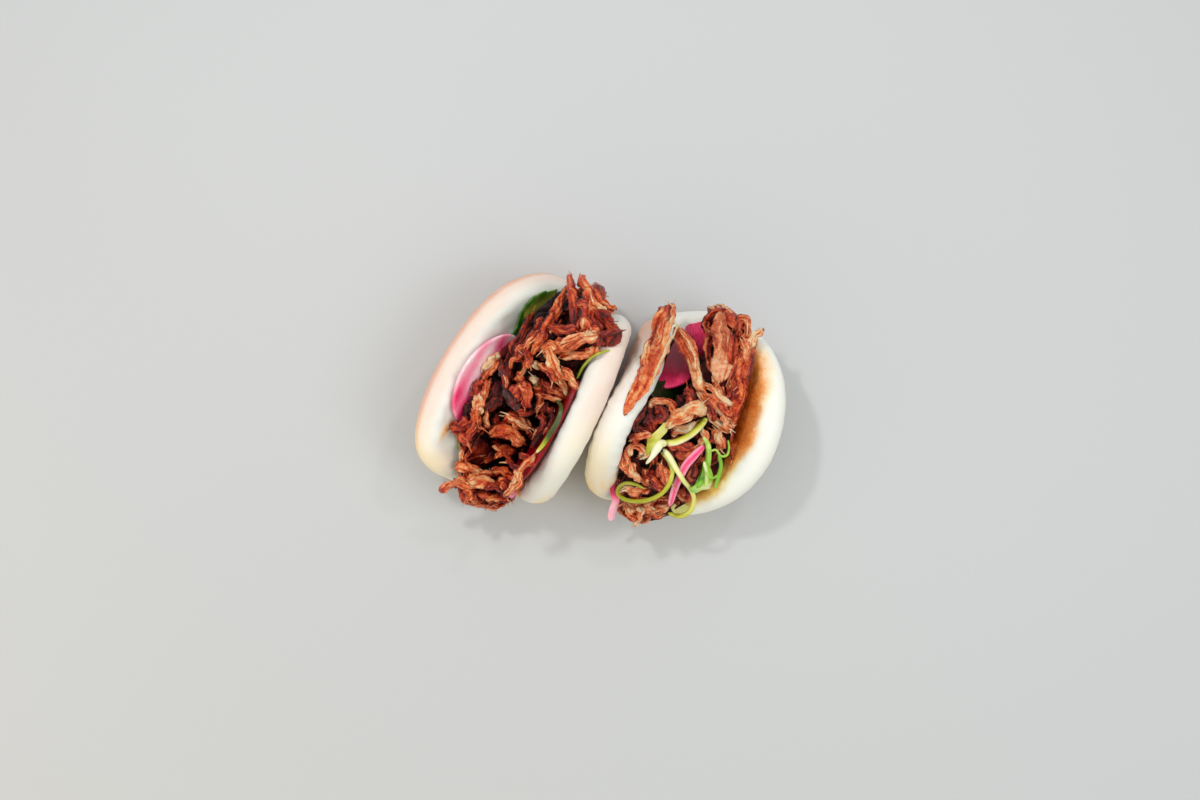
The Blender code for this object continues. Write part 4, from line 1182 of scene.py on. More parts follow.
def filler(lot, poly, count, axis, seed, avoid=(), tint=(0.12, 0.42), wid=(6, 11), length=(16, 36), spread=0.7):
    r = RND(seed)
    k = 0
    tries = 0
    xs, ys = [p[0] for p in poly], [p[1] for p in poly]
    while k < count and tries < 4000:
        tries += 1
        x, y = r.uniform(min(xs), max(xs)), r.uniform(min(ys), max(ys))
        if not inside(poly, x, y):
            continue
        L = r.uniform(*length)
        g = axis + r.normal() * spread
        dx, dy = math.cos(g) * L / 2, math.sin(g) * L / 2
        c = r.uniform(-0.25, 0.25) * L
        p = [(x - dx, y - dy), (x - dx * 0.3 - dy * c / L, y - dy * 0.3 + dx * c / L), (x + dx * 0.4 - dy * c / L, y + dy * 0.4 + dx * c / L), (x + dx, y + dy)]
        if not all(inside(poly, *q) for q in p):
            continue
        if any(math.hypot(q[0] - a[0], q[1] - a[1]) < a[2] for q in p for a in avoid):
            continue
        w = r.uniform(*wid)
        shred(lot, p, (w * 0.8, w, w * 0.95, w * 0.8), r.uniform(*tint), seed=seed * 100 + k, sink=0.42, fray=2, m=24, res=1.6, lift=0.0, nf=8, fib=0.5)
        k += 1
    return k


def clothe_sides(lot, name, nl, count, seed, tint=(0.14, 0.56), keep=None):
    """torn pieces over the whole upper side of a heap, following its steep flanks"""
    R, _ = CORE[name]
    na, per = R.shape[:2]
    r = RND(seed)
    for i in range(count):
        k0 = r.uniform(4, na - 5)
        side = r.rand()
        j0 = nl + (r.uniform(0.02, 0.30) if side < 0.4 else r.uniform(0.70, 0.98) if side < 0.8 else r.uniform(0.3, 0.7)) * (per - nl)
        dk = r.uniform(6, 17) * (1 if r.rand() < 0.5 else -1)
        dj = r.normal() * 9
        q = [(k0 + dk * f, j0 + dj * f + 3 * math.sin(3 * f + i)) for f in (0, 0.33, 0.66, 1.0)]
        q = [(int(np.clip(k, 2, na - 3)), int(np.clip(j, nl, per - 1))) for k, j in q]
        P = np.array([R[k, j] for k, j in q])
        if np.linalg.norm(np.diff(P, axis=0), axis=1).sum() < 0.006:
            continue
        if keep and not all(keep(c) for c in proj(P)[:, :2]):
            continue
        nrm = np.array([np.cross(R[k, min(j + 2, per - 1)] - R[k, j - 2], R[k + 2, j] - R[k - 2, j]) for k, j in q])
        nrm = nrm / (np.linalg.norm(nrm, axis=1, keepdims=True) + 1e-12)
        out = P - R[[k for k, _ in q]].mean(1)
        nrm = nrm * np.sign((nrm * out).sum(1))[:, None]
        w = r.uniform(2.8, 5.4)
        P = P + nrm * w * 0.12 * MM
        shred_on(lot, P, nrm, (w * 0.85, w, w * 0.9, w * 0.8), r.uniform(*tint), seed=seed * 70 + i, under=0.75, glaze=r.uniform(0, 0.6) ** 2 * 2, fib=0.35, fray=1, m=20, res=0.0008)


def clothe_ends(lot, name, count, seed, ends=(0, 1), depth=16, tint=(0.34, 0.70), keep=None):
    """torn pieces over both ends of a heap, where it shows from the side"""
    R, _ = CORE[name]
    na, per = R.shape[:2]
    r = RND(seed)
    for end in ends:
        ring = (lambda k: R[int(np.clip(k, 0, na - 1))]) if end == 0 else (lambda k: R[na - 1 - int(np.clip(k, 0, na - 1))])
        C = ring(depth).mean(0)
        tip = ring(0).mean(0)
        for i in range(count):
            j0 = r.randint(per)
            k0 = r.uniform(3, depth)
            pts = []
            if r.rand() < 0.45:
                # across the end
                j1 = int(j0 + per * r.uniform(0.25, 0.6))
                for k, j in ((k0, j0), (k0 * 0.4, j0), (1, (j0 + j1) // 2), (k0 * 0.5, j1)):
                    pts.append(ring(k)[int(j) % per])
            else:
                dj = r.uniform(-0.10, 0.10) * per
                dk = r.uniform(-7, 7)
                for f in (0, 0.33, 0.66, 1.0):
                    pts.append(ring(k0 + dk * f)[int(j0 + dj * f) % per])
            P = np.array(pts)
            if np.linalg.norm(np.diff(P, axis=0), axis=1).sum() < 0.006:
                continue
            if keep and not all(keep(c) for c in proj(P)[:, :2]):
                continue
            nrm = P - C
            nrm = nrm / (np.linalg.norm(nrm, axis=1, keepdims=True) + 1e-9)
            w = r.uniform(2.6, 5.2)
            P = P + nrm * w * 0.10 * MM
            P[:, 2] = np.maximum(P[:, 2], 0.0030)
            shred_on(lot, P, nrm, (w * 0.85, w, w * 0.9, w * 0.8), r.uniform(*tint), seed=seed * 50 + i + end * 500, under=0.30, glaze=r.uniform(0, 0.5) ** 2 * 2, fib=0.5, fray=2)


# ---------------------------------------------------------------- left filling
BAND_L = [(570, 400), (562, 432), (550, 470), (522, 500), (516, 497), (526, 482), (533, 464), (544, 450), (553, 428), (560, 402)]
AX_L = math.atan2(290 - 492, 585 - 489)
POLY_L = [(566, 286), (590, 290), (610, 312), (612, 332), (598, 352), (576, 372), (566, 392), (552, 404), (546, 430), (534, 452), (522, 472), (512, 492),
          (478, 492), (458, 480), (460, 468), (488, 470), (498, 462), (500, 430), (484, 424), (472, 440), (458, 434), (470, 416), (476, 402),
          (486, 396), (500, 372), (510, 356), (518, 334), (532, 318), (546, 306)]
left, left_low = Lot(), Lot()
clothe_ends(left_low, 'meat_left_core', 32, 61)
clothe_sides(left_low, 'meat_left_core', 24, 74, 71, keep=lambda q: not inside(BAND_L, *q))
filler(left_low, POLY_L, 30, AX_L, 7, avoid=((565, 307, 8),), wid=(7, 13))
LEFT_BITS = [
    # top clump
    ([(569, 275), (571, 290), (575, 308), (576, 326)], (9, 12, 12, 10), 0.50, 0.5),
    ([(582, 277), (588, 290), (592, 304), (590, 320)], (8, 13, 13, 10), 0.56, 0.6),
    ([(593, 290), (600, 299), (608, 306), (614, 311)], (8, 10, 9, 6), 0.66, 0.2),
    ([(591, 300), (597, 306), (603, 312)], (7, 9, 7), 0.72, 0.2),
    ([(597, 310), (606, 322), (611, 334), (607, 346)], (11, 17, 16, 11), 0.46, 0.1),
    ([(621, 332), (611, 333), (598, 337), (588, 341)], (6, 10, 10, 7), 0.34, 0.5),
    ([(566, 287), (558, 303), (553, 318), (549, 332)], (7, 10, 10, 8), 0.62, 0.1),
    ([(580, 300), (584, 314), (581, 330)], (9, 11, 9), 0.36, 0.7),
    ([(590, 320), (598, 335), (595, 350)], (9, 12, 10), 0.38, 0.5),
    ([(583, 318), (590, 328), (600, 330)], (6, 8, 6), 0.58, 0.1),
    ([(584, 318), (582, 326), (583, 333)], (5, 6, 4), 0.74, 0.0),
    # long strands down the upper half
    ([(532, 315), (524, 328), (518, 342), (512, 356)], (8, 12, 11, 8), 0.48, 0.1),
    ([(543, 318), (536, 332), (527, 346), (518, 360)], (7, 11, 11, 8), 0.58, 0.1),
    ([(553, 312), (547, 326), (541, 340), (532, 354)], (7, 10, 9, 7), 0.54, 0.1),
    ([(548, 326), (562, 330), (577, 331)], (7, 10, 8), 0.44, 0.1),
    ([(538, 330), (530, 342), (522, 352)], (5, 6, 5), 0.66, 0.0),
    ([(560, 358), (574, 355), (588, 353), (597, 348)], (9, 12, 11, 8), 0.62, 0.1),
    ([(543, 353), (558, 347), (576, 341), (597, 333)], (13, 17, 17, 13), 0.60, -0.3),
    ([(560, 343), (576, 337), (590, 332)], (5, 7, 5), 0.72, 0.0),
    ([(503, 362), (505, 376), (508, 392)], (8, 11, 9), 0.24, 0.8),
    ([(507, 376), (508, 390), (509, 403)], (3, 3.5, 3), 0.66, 0.2),
    ([(512, 368), (512, 360), (518, 358), (524, 362), (523, 370), (516, 374)], (4, 5, 5, 5, 4), 0.70, 0.0),
    ([(520, 352), (528, 356), (530, 366)], (7, 9, 7), 0.5, 0.3),
    ([(516, 374), (522, 380), (524, 388)], (6, 8, 7), 0.6, 0.1),
    ([(531, 367), (535, 364), (540, 367)], (5, 7, 5), 0.90, 0.0),
    ([(545, 347), (552, 356), (557, 370), (563, 384), (567, 396)], (6, 9, 9, 9, 7), 0.82, 0.0),
    ([(542, 348), (549, 345), (555, 350)], (5, 8, 6), 0.68, 0.2),
    ([(562, 368), (570, 377), (576, 388)], (6, 9, 6), 0.78, -0.3),
    ([(532, 376), (536, 383), (538, 391)], (8, 9, 7), 0.98, 0.0),
    ([(540, 364), (549, 370), (556, 382)], (8, 11, 9), 0.62, -0.4),
    ([(543, 380), (553, 388), (565, 396)], (11, 15, 11), 0.50, -0.7),
    ([(540, 394), (550, 398), (562, 399)], (6, 8, 6), 0.62, -0.6),
    ([(508, 390), (513, 401), (522, 409)], (12, 16, 12), 0.24, 0.9),
    ([(513, 394), (521, 391), (530, 396)], (13, 17, 13), 0.60, 0.95),
    ([(522, 384), (527, 395), (527, 408)], (8, 12, 10), 0.62, 0.4),
    ([(535, 390), (540, 400), (537, 412)], (8, 10, 8), 0.66, 0.0),
    ([(496, 414), (499, 425), (510, 430)], (8, 10, 8), 0.52, 0.1),
    ([(505, 420), (515, 418), (527, 426), (533, 438)], (10, 14, 14, 11), 0.68, 0.2),
    ([(507, 414), (517, 420), (530, 428)], (5, 7, 5), 0.78, 0.1),
    ([(491, 435), (502, 430), (514, 434), (522, 445)], (10, 14, 14, 10), 0.56, 0.1),
    ([(494, 442), (503, 449), (517, 450)], (8, 11, 8), 0.62, 0.0),
    ([(535, 402), (530, 411), (519, 414)], (7, 10, 8), 0.40, 0.1),
    ([(547, 403), (546, 418), (541, 433), (533, 446)], (10, 13, 12, 9), 0.30, 0.1),
    ([(540, 415), (543, 424), (537, 434)], (6, 8, 6), 0.46, 0.2),
    ([(553, 408), (551, 420), (546, 432)], (5, 8, 6), 0.26, 0.0),
    # left clump beside the petal
    ([(499, 354), (491, 361), (484, 371)], (7, 10, 8), 0.84, 0.0),
    ([(497, 362), (490, 371), (484, 380)], (6, 8, 6), 0.60, 0.1),
    ([(481, 379), (477, 388), (475, 397)], (9, 12, 9), 0.46, 0.9),
    ([(489, 381), (485, 390), (481, 399)], (7, 9, 7), 0.60, 0.1),
    ([(479, 396), (478, 405), (480, 414)], (9, 12, 10), 0.64, 0.1),
    ([(472, 412), (476, 420), (480, 430)], (9, 12, 9), 0.46, 0.1),
    ([(487, 412), (485, 421), (488, 428)], (5, 7, 5), 0.56, 0.0),
    ([(469, 421), (462, 426), (452, 431)], (10, 14, 9), 0.34, 0.2),
    ([(476, 424), (470, 434), (464, 442)], (9, 12, 8), 0.44, 0.1),
    ([(459, 434), (464, 439), (468, 446)], (6, 8, 5), 0.54, 0.7),
    ([(482, 430), (477, 440), (470, 450), (464, 459)], (5, 7, 7, 5), 0.38, 0.0),
    # down in the pit
    ([(484, 462), (492, 457), (503, 455)], (6, 8, 6), 0.26, 0.0),
    ([(497, 458), (503, 452), (512, 456)], (5, 7, 5), 0.5, 0.0),
    ([(507, 460), (516, 466), (524, 468)], (5, 7, 6), 0.5, 0.0),
    ([(520, 455), (528, 459), (532, 466)], (7, 9, 7), 0.38, 0.0),
    # spill at the lower end
    ([(456, 467), (466, 468), (478, 474), (492, 476)], (10, 14, 14, 11), 0.64, 0.0),
    ([(457, 478), (464, 484), (474, 486)], (10, 13, 10), 0.60, 0.0),
    ([(441, 492), (449, 486), (460, 484), (472, 486)], (3, 8, 10, 9), 0.62, 0.0),
    ([(492, 472), (502, 470), (512, 476)], (8, 11, 9), 0.60, 0.0),
    ([(468, 480), (480, 482), (494, 482)], (11, 15, 12), 0.68, 0.0),
    ([(466, 489), (468, 494), (468, 501)], (8, 7, 4), 0.54, 0.0),
    ([(478, 492), (490, 494), (503, 493)], (10, 13, 11), 0.60, 0.2),
    ([(498, 480), (505, 486), (507, 494)], (9, 12, 10), 0.50, 0.0),
    ([(504, 496), (512, 488), (516, 476), (523, 466), (535, 457)], (8, 10, 10, 9, 5), 0.70, 0.0),
    ([(486, 498), (496, 500), (506, 498)], (4, 6, 5), 0.62, 0.2),
    ([(516, 470), (520, 480), (514, 490)], (6, 8, 6), 0.62, 0.0),
    ([(484, 487), (494, 487), (503, 490)], (5, 7, 5), 0.42, 0.4),
]
for i, (p, w, t, g) in enumerate(LEFT_BITS):
    shred(left, p, w, t, seed=i * 7 + 3, m=30, glaze=g)
own(left_low.done('meat_left_shreds_under', MEAT_M), 'meat')
own(left.done('meat_left_shreds', MEAT_M), 'meat')

# ---------------------------------------------------------------- right filling
GAP_R = [(674, 300), (708, 300), (707, 330), (694, 334), (686, 332), (674, 334)]
AX_R = math.atan2(308 - 505, 695 - 640)
POLY_R = [(708, 320), (740, 322), (748, 342), (742, 372), (736, 402), (730, 430), (720, 452), (708, 470), (694, 492), (668, 504), (632, 508), (622, 496),
          (627, 466), (630, 440), (646, 416), (654, 404), (678, 404), (690, 388), (702, 384), (710, 372), (709, 345)]
right, right_low = Lot(), Lot()
clothe_ends(right_low, 'meat_right_core', 36, 62, keep=lambda q: not inside(GAP_R, *q))
clothe_sides(right_low, 'meat_right_core', 24, 72, 72, keep=lambda q: not inside(GAP_R, *q))
filler(right_low, POLY_R, 28, AX_R, 9, wid=(7, 13), avoid=((674, 370, 16),))


# ---------------------------------------------------------------- onion petals lying in the right heap
def petal(name, slot, nodes, pts, thk, zlift, attrs, nth=90, ne=4, ni=16, tilt=(0, 0), cup=0.0, mat=ONION_M, wob=0.0, seed=3, scallop=0.0, zoff=None):
    o = loop_of(pts, nth)
    c = o.mean(0)
    if scallop:
        ph = np.arange(nth) / nth * 2 * np.pi
        o = c + (o - c) * (1 - scallop * np.abs(np.sin(ph * 6)) ** 1.5)[:, None]
    rad = np.hypot(*(o - c).T).max()
    rr = np.linspace(0, 1, 9)
    gx = (c[0] + rr[:, None] * (o[:, 0] - c[0])).ravel()
    gy = (c[1] + rr[:, None] * (o[:, 1] - c[1])).ravel()
    g = G.at(gx, gy, 1.5)
    A = np.stack([np.ones_like(gx), (gx - c[0]) / rad, (gy - c[1]) / rad], 1)
    k, *_ = np.linalg.lstsq(A, g, rcond=None)
    k[1] += tilt[0] * MM
    k[2] += tilt[1] * MM
    k[0] += zlift * MM
    hold = []

    def base(x, y):
        u, v = (x - c[0]) / rad, (y - c[1]) / rad
        return k[0] + k[1] * u + k[2] * v + cup * MM * (u * u + v * v) + wob * MM * waves(u * 3, v * 3, seed, 6, 0.6, 1.6)

    def mid(x, y):
        hold.append((np.array(x), np.array(y)))
        P = unproj(x, y, base(x, y))
        e = 0.5
        n_ = np.cross(unproj(x + e, y, base(x + e, y)) - P, unproj(x, y - e, base(x, y - e)) - P)
        return P, n_ / np.linalg.norm(n_, axis=-1, keepdims=True)
    h = lambda a, b: thk / 2 * MM + 0 * a
    V, F = slab(mid, h, h, o[:, 0], o[:, 1], c, thk / 2 * MM, ne, ni)
    q, t = split(F)
    if volume(V, F) < 0:
        q, t = q[:, ::-1], t[:, ::-1]
    ob = make(name, V, q, t, attrs(V), mat)
    own(ob, slot, *nodes)
    G.add(V, q, t)
    return ob


petal('leaf_right_green', 'leaf', ['leaf_right'], [(650, 384), (665, 380), (680, 383), (683, 396), (674, 404), (655, 402)], 0.7, 0.5,
      lambda V: dict(rib=0 * V[:, 0], shade=np.full(len(V), 0.10)), mat=LEAF_M, wob=0.8, scallop=0.08)
petal('onion_right_back_petal', 'onion_dark', ['onion_right_back'], [(686, 328), (696, 323), (709, 323), (711, 344), (700, 356), (690, 347)], 1.6, 1.2,
      lambda V: dict(pk=0.74 - 0.14 * step(-proj(V)[:, 1], -345, -325), vein=proj(V)[:, 0] * 0.2, run=proj(V)[:, 1] * 0.4), cup=-1.5)
petal('onion_right_petal_dark', 'onion_dark', ['onion_right_petal'],
      [(657, 386), (660, 376), (668, 354), (677, 341), (687, 350), (694, 370), (687, 382), (670, 388)], 1.8, 2.6,
      # pk: paler pink along the lower edge; the small paler spot near (681, 377) is a painted highlight
      lambda V: dict(pk=0.84 - 0.26 * step(proj(V)[:, 1], 370, 387) - 0.12 * np.exp(-((proj(V)[:, 0] - 681) / 7) ** 2 - ((proj(V)[:, 1] - 377) / 6) ** 2),
                     vein=proj(V)[:, 0] * 0.25, run=proj(V)[:, 1] * 0.4), cup=-2.0, nth=120)

RIGHT_BITS = [
    # deep inside
    ([(680, 396), (684, 406), (680, 416)], (9, 12, 9), 0.16, 0.5),
    ([(690, 386), (693, 397), (690, 408)], (10, 12, 10), 0.16, 0.3),
    ([(684, 392), (690, 398), (688, 408)], (7, 9, 7), 0.28, 0.6),
    ([(642, 411), (634, 424), (641, 432)], (8, 10, 8), 0.20, 0.1),
    ([(648, 414), (652, 426), (656, 438)], (8, 11, 9), 0.30, 0.4),
    # top clump
    ([(706, 330), (708, 320), (717, 313), (727, 312)], (9, 11, 10, 7), 0.34, 0.6),
    ([(709, 322), (708, 338), (708, 354), (712, 372)], (8, 10, 10, 8), 0.34, 0.2),
    ([(726, 312), (731, 318), (735, 328)], (9, 11, 8), 0.56, 0.6),
    ([(736, 330), (739, 320), (746, 322), (747, 334), (740, 341)], (7, 9, 9, 8, 6), 0.34, 0.0),
    ([(733, 334), (734, 350), (731, 366), (728, 380)], (8, 12, 12, 9), 0.36, 0.3),
    # right slab
    ([(754, 333), (747, 350), (741, 370), (737, 390), (732, 410), (727, 428)], (13, 19, 20, 18, 15, 11), 0.66, 0.1),
    ([(749, 347), (754, 338), (760, 329)], (9, 9, 6), 0.70, 0.1),
    ([(742, 341), (746, 350), (744, 362)], (8, 10, 8), 0.50, 0.3),
    ([(735, 390), (729, 396), (726, 406)], (8, 10, 8), 0.34, 0.9),
    # ridged bridge in the middle
    ([(714, 378), (718, 388), (724, 398)], (9, 11, 9), 0.52, 0.0),
    ([(697, 392), (704, 402), (712, 411)], (5, 7, 5), 0.56, 0.0),
    ([(698, 386), (708, 398), (720, 410), (729, 420)], (7, 10, 10, 8), 0.54, 0.1),
    ([(703, 382), (713, 391), (723, 399), (732, 404)], (6, 7, 7, 6), 0.66, 0.1),
    ([(708, 410), (716, 421), (728, 430), (734, 424)], (6, 8, 8, 6), 0.66, 0.1),
    ([(718, 404), (726, 411), (733, 414)], (6, 8, 6), 0.40, 0.7),
    ([(722, 416), (726, 424), (732, 427)], (5, 7, 5), 0.6, 0.1),
    ([(704, 404), (711, 412), (716, 420)], (5, 6, 5), 0.36, 0.1),
    ([(672, 432), (684, 430), (697, 424)], (8, 10, 8), 0.64, 0.0),
    ([(717, 430), (719, 440), (719, 450)], (10, 12, 10), 0.66, 0.2),
    ([(731, 424), (732, 444), (731, 462)], (3, 3.4, 3), 0.40, 0.3),
        ([(656, 406), (661, 413), (658, 424)], (12, 16, 12), 0.32, 0.95),
    ([(650, 408), (656, 401), (667, 401), (674, 408), (672, 418)], (5, 7, 7, 7, 5), 0.62, 0.1),
    ([(670, 442), (684, 449), (697, 448)], (9, 12, 9), 0.34, 0.4),
    ([(676, 455), (688, 456), (699, 450)], (7, 9, 7), 0.38, 0.2),
    ([(665, 425), (678, 417), (692, 409), (705, 405)], (12, 14, 14, 13), 0.72, 0.0),
    ([(668, 428), (682, 421), (694, 415)], (5, 6, 5), 0.58, 0.2),
    ([(632, 441), (640, 436), (649, 432)], (8, 12, 8), 0.50, 0.5),
    ([(694, 462), (689, 474), (692, 484)], (9, 11, 9), 0.40, 0.1),
    ([(702, 428), (704, 438), (700, 446)], (6, 8, 6), 0.62, 0.1),
    # lower left curls
    ([(627, 447), (625, 459), (629, 472)], (8, 10, 8), 0.48, 0.1),
    ([(629, 456), (631, 448), (640, 447), (646, 454), (640, 460)], (6, 8, 8, 7, 5), 0.56, 0.1),
    ([(629, 462), (633, 471), (638, 482)], (7, 9, 8), 0.68, 0.0),
    ([(641, 470), (645, 478), (646, 486)], (6, 8, 6), 0.52, 0.0),
    ([(650, 470), (655, 481), (662, 490)], (10, 13, 10), 0.38, 0.2),
    ([(659, 463), (665, 474), (668, 486)], (9, 13, 10), 0.42, 0.4),
    ([(624, 488), (636, 491), (649, 488)], (8, 10, 8), 0.62, 0.2),
    ([(676, 491), (684, 495), (690, 501)], (9, 13, 9), 0.50, 0.3),
    ([(624, 503), (636, 507), (650, 506)], (11, 14, 11), 0.60, 0.1),
    ([(644, 506), (656, 509), (668, 506)], (9, 13, 10), 0.62, 0.0),
    ([(626, 508), (631, 514), (640, 516)], (7, 9, 7), 0.60, 0.0),
    ([(642, 508), (639, 517), (635, 526)], (8, 7, 4), 0.66, 0.0),
    ([(650, 510), (656, 515), (663, 516)], (5, 6, 4), 0.64, 0.0),
    ([(656, 496), (664, 499), (672, 497)], (6, 8, 6), 0.48, 0.1),
]
slabs = Lot()
for i, (p, w, t, g) in enumerate(RIGHT_BITS):
    flat = max(w) > 18 or p[0] == (665, 425)
    shred(slabs if flat else right, p, w, t, seed=i * 5 + 701, m=40 if flat else 30, glaze=g, **(dict(rt=0.36 if max(w) > 22 else 0.6, base=0.86, fib=0.15, fray=1) if flat else {}))
pale = Lot()
shred(pale, [(719, 313), (721, 328), (721, 346), (720, 364), (722, 381)], (12, 18, 19, 17, 11), 0.68, seed=766, m=40, glaze=-0.3, rt=0.40, base=0.90, fib=0.1, fray=1, lift=0.6, full=0.2)
shred(slabs, [(676, 328), (684, 338), (690, 351), (693, 366), (697, 380), (703, 390)], (10, 13, 13, 12, 11, 10), 0.58, seed=990, lift=1.0, m=36, base=0.80, fib=0.3, glaze=0.3)
shred(right, [(681, 328), (689, 342), (694, 356), (696, 370)], (4, 5, 5, 4), 0.62, seed=991, lift=1.0)
own(right_low.done('meat_right_shreds_under', MEAT_R), 'meat')
own(slabs.done('meat_right_slabs', MEAT_A), 'meat')
own(pale.done('meat_right_slab_pale', MEAT_P), 'meat')
own(right.done('meat_right_shreds', MEAT_R), 'meat')

rimlot = Lot()
RIM_PATH = [(670, 305), (665, 322), (659, 340), (652, 356), (648, 370), (642, 384), (634, 398), (626, 415)]
shred(rimlot, RIM_PATH, (17, 20, 21, 22, 19, 15, 12, 11), 0.68, seed=1200, nf=12, m=48, rt=0.42, fray=2, slope=0.9, full=0.0, glaze=0.25, base=0.78, fib=0.25)
shred(rimlot, [(648, 342), (645, 354), (646, 366)], (7, 9, 7), 0.70, seed=1201, rt=0.4, slope=0.9, glaze=0.0)
shred(rimlot, [(666, 318), (660, 332), (657, 346)], (5, 7, 5), 0.60, seed=1202, rt=0.5, slope=0.9, glaze=0.7)
shred(rimlot, [(677, 324), (670, 340), (663, 356), (657, 372), (653, 382)], (2.4, 3, 2.8, 2.4, 2), 0.98, seed=1204, rt=0.5, slope=1.0, glaze=0.0, fib=0.3)
shred(rimlot, [(674, 304), (674, 314), (671, 324)], (5, 6, 5), 0.68, seed=1205, rt=0.5, slope=0.9, glaze=0.2)
own(rimlot.done('meat_strip_rim_shred', MEAT_A), 'meat', 'meat_strip_rim')


# ---------------------------------------------------------------- flat strips: scallion and onion
def ribbon(name, slot, nodes, mat, pts, w, thk, attr_fn, lift=0.2, slope=0.8, seed=0, curl=0.5, m=16, zs=None, res=1.0, soft=10, cupd=0.25, lot=None):
    r = RND(seed + 5)
    P0 = np.array(pts, float)
    length = np.linalg.norm(np.diff(P0, axis=0), axis=1).sum()
    n = int(max(16, length / res))
    C = path_of(pts, n)
    s = np.linspace(0, 1, n)
    w = np.interp(s, np.linspace(0, 1, len(w)), w) * 0.4375 * 1.06
    if zs is None:
        g = G.top(C[:, 0], C[:, 1], max(1.5, w.max() * 0.9))
        z = smooth1(g, 3)
        ds = length / n * 0.00044
        for i in range(1, n):
            z[i] = max(z[i], z[i - 1] - slope * ds)
        for i in range(n - 2, -1, -1):
            z[i] = max(z[i], z[i + 1] - slope * ds)
        z = smooth1(z, soft) + (lift + thk / 2) * MM
    else:
        z = np.interp(s, np.linspace(0, 1, len(zs)), zs) * MM
    W = unproj(C[:, 0], C[:, 1], z)
    roll = curl * np.sin(s * r.uniform(3, 6) + r.uniform(0, 6))
    T, S, N = frames(W, roll)
    th = np.arange(m) / m * 2 * np.pi
    c, q = np.cos(th), np.sin(th)
    cc, qq = np.sign(c) * np.abs(c) ** 0.7, np.sign(q) * np.abs(q) ** 0.7
    e = np.clip((1 - np.abs(2 * s - 1) ** 14) ** 0.5, 0.25, 1)
    X = (w / 2 * e)[:, None] * cc
    Y = (thk / 2 * e)[:, None] * qq - cupd * (w / 2)[:, None] * (cc ** 2 - 0.4)
    V = W[:, None, :] + (X[:, :, None] * S[:, None, :] + Y[:, :, None] * N[:, None, :]) * MM
    V = np.concatenate([V.reshape(-1, 3), W[:1], W[-1:]])
    Q, Tr = tube_faces(n, m)
    su = np.concatenate([np.repeat(s * length * 0.44, m), [0], [length * 0.44]])
    sv = np.concatenate([(cc[None] + 0 * s[:, None]).ravel(), [0], [0]])
    ss = np.concatenate([np.repeat(s, m), [0], [1]])
    attrs = attr_fn(ss, sv, su)
    if lot is not None:
        lot.add(V, Q, Tr, **attrs)
    else:
        own(make(name, V, Q, Tr, attrs, mat), slot, *nodes)
    G.add(V, Q)
    return W


def green(a, b, mid=None):
    def f(ss, sv, su):
        if mid is None:
            g = a + (b - a) * ss
        else:
            g = np.interp(ss, (0, 0.5, 1), (a, mid, b))
        return dict(g=g, sv=sv, su=su)
    return f


def pinkish(a, b):
    return lambda ss, sv, su: dict(pk=a + (b - a) * ss - 0.1 * (1 - sv ** 2), vein=sv * 1.6, run=su)


ribbon('onion_right_strip_top', 'onion_pink', ['onion_right_strip'], ONION_M, [(704, 446), (695, 455), (686, 465), (679, 478), (674, 491), (670, 506)],
       (6, 7.5, 8, 7, 6), 0.8, lambda ss, sv, su: dict(pk=0.30 + 0.36 * np.exp(-((sv + 0.15) / 0.4) ** 2) - 0.1 * ss, vein=sv * 2, run=su), seed=1, curl=0.3)
ribbon('onion_right_strip_low', 'onion_pink', [], ONION_M, [(618, 464), (614, 478), (613, 490), (616, 500), (613, 510), (611, 521)],
       (5, 5, 6, 7.5, 8, 8), 0.8, lambda ss, sv, su: dict(pk=0.74 - 0.58 * step(ss, 0.35, 0.72), vein=sv * 2, run=su), seed=2, zs=(42, 38, 34, 31, 26, 21), curl=0.2)
ribbon('scallion_loop_strip', 'scallion', ['scallion_loop'], SCAL_M, [(645, 489), (634, 484), (624, 484), (618, 490), (621, 497), (632, 501), (648, 500), (662, 493),
       (670, 482), (672, 470), (668, 459), (661, 452)], (3, 4, 4.4, 4.4, 4.4, 4.4, 4.4, 4.4), 0.5, green(0.60, 0.34, 0.62), seed=6, soft=16, curl=0.35)
ribbon('scallion_long_strip', 'scallion', ['scallion_long'], SCAL_M, [(663, 449), (670, 458), (677, 470), (684, 481), (691, 490), (694, 500), (690, 511), (680, 516), (668, 513)],
       (6, 6, 5.5, 4.5, 4.5, 5, 5, 5), 0.5, green(0.10, 0.48, 0.24), seed=3, curl=0.35)
ribbon('scallion_arm_strip', 'scallion', ['scallion_arm'], SCAL_M, [(706, 418), (701, 425), (690, 435), (676, 442), (663, 443)],
       (5.5, 6.5, 6.5, 6), 0.5, lambda ss, sv, su: dict(g=np.clip(0.50 + 0.30 * sv - 0.25 * ss, 0, 1), sv=sv, su=su), seed=4, curl=0.2)
petal('scallion_low_flat', 'scallion', [], [(671, 506), (678, 503), (687, 505), (690, 510), (684, 514), (674, 513)], 0.7, 0.6,
      lambda V: dict(g=0.22 + 0 * V[:, 0], sv=0 * V[:, 0], su=V[:, 1] * 1000), mat=SCAL_M, cup=0.6)
petal('scallion_leafy_fold', 'scallion', ['scallion_leafy'], [(668, 416), (667, 424), (667, 431), (661, 438), (657, 445), (654, 452), (649, 459), (646, 453), (647, 444), (648, 438),
      (655, 432), (661, 426)], 0.5, 2.4, lambda V: dict(g=np.clip(0.42 + 0.035 * (652 - proj(V)[:, 0]) + 0.0 * V[:, 0], 0.25, 0.9), sv=0 * V[:, 0], su=V[:, 1] * 1000), mat=SCAL_M, cup=-1.6, nth=110)
ribbon('scallion_node_strip', 'scallion', [], SCAL_M, [(667, 443), (660, 444), (656, 450), (652, 457), (646, 464)], (6, 9, 8, 5, 3), 0.45, green(0.16, 0.05, 0.0), seed=23, curl=0.3, lift=0.1)
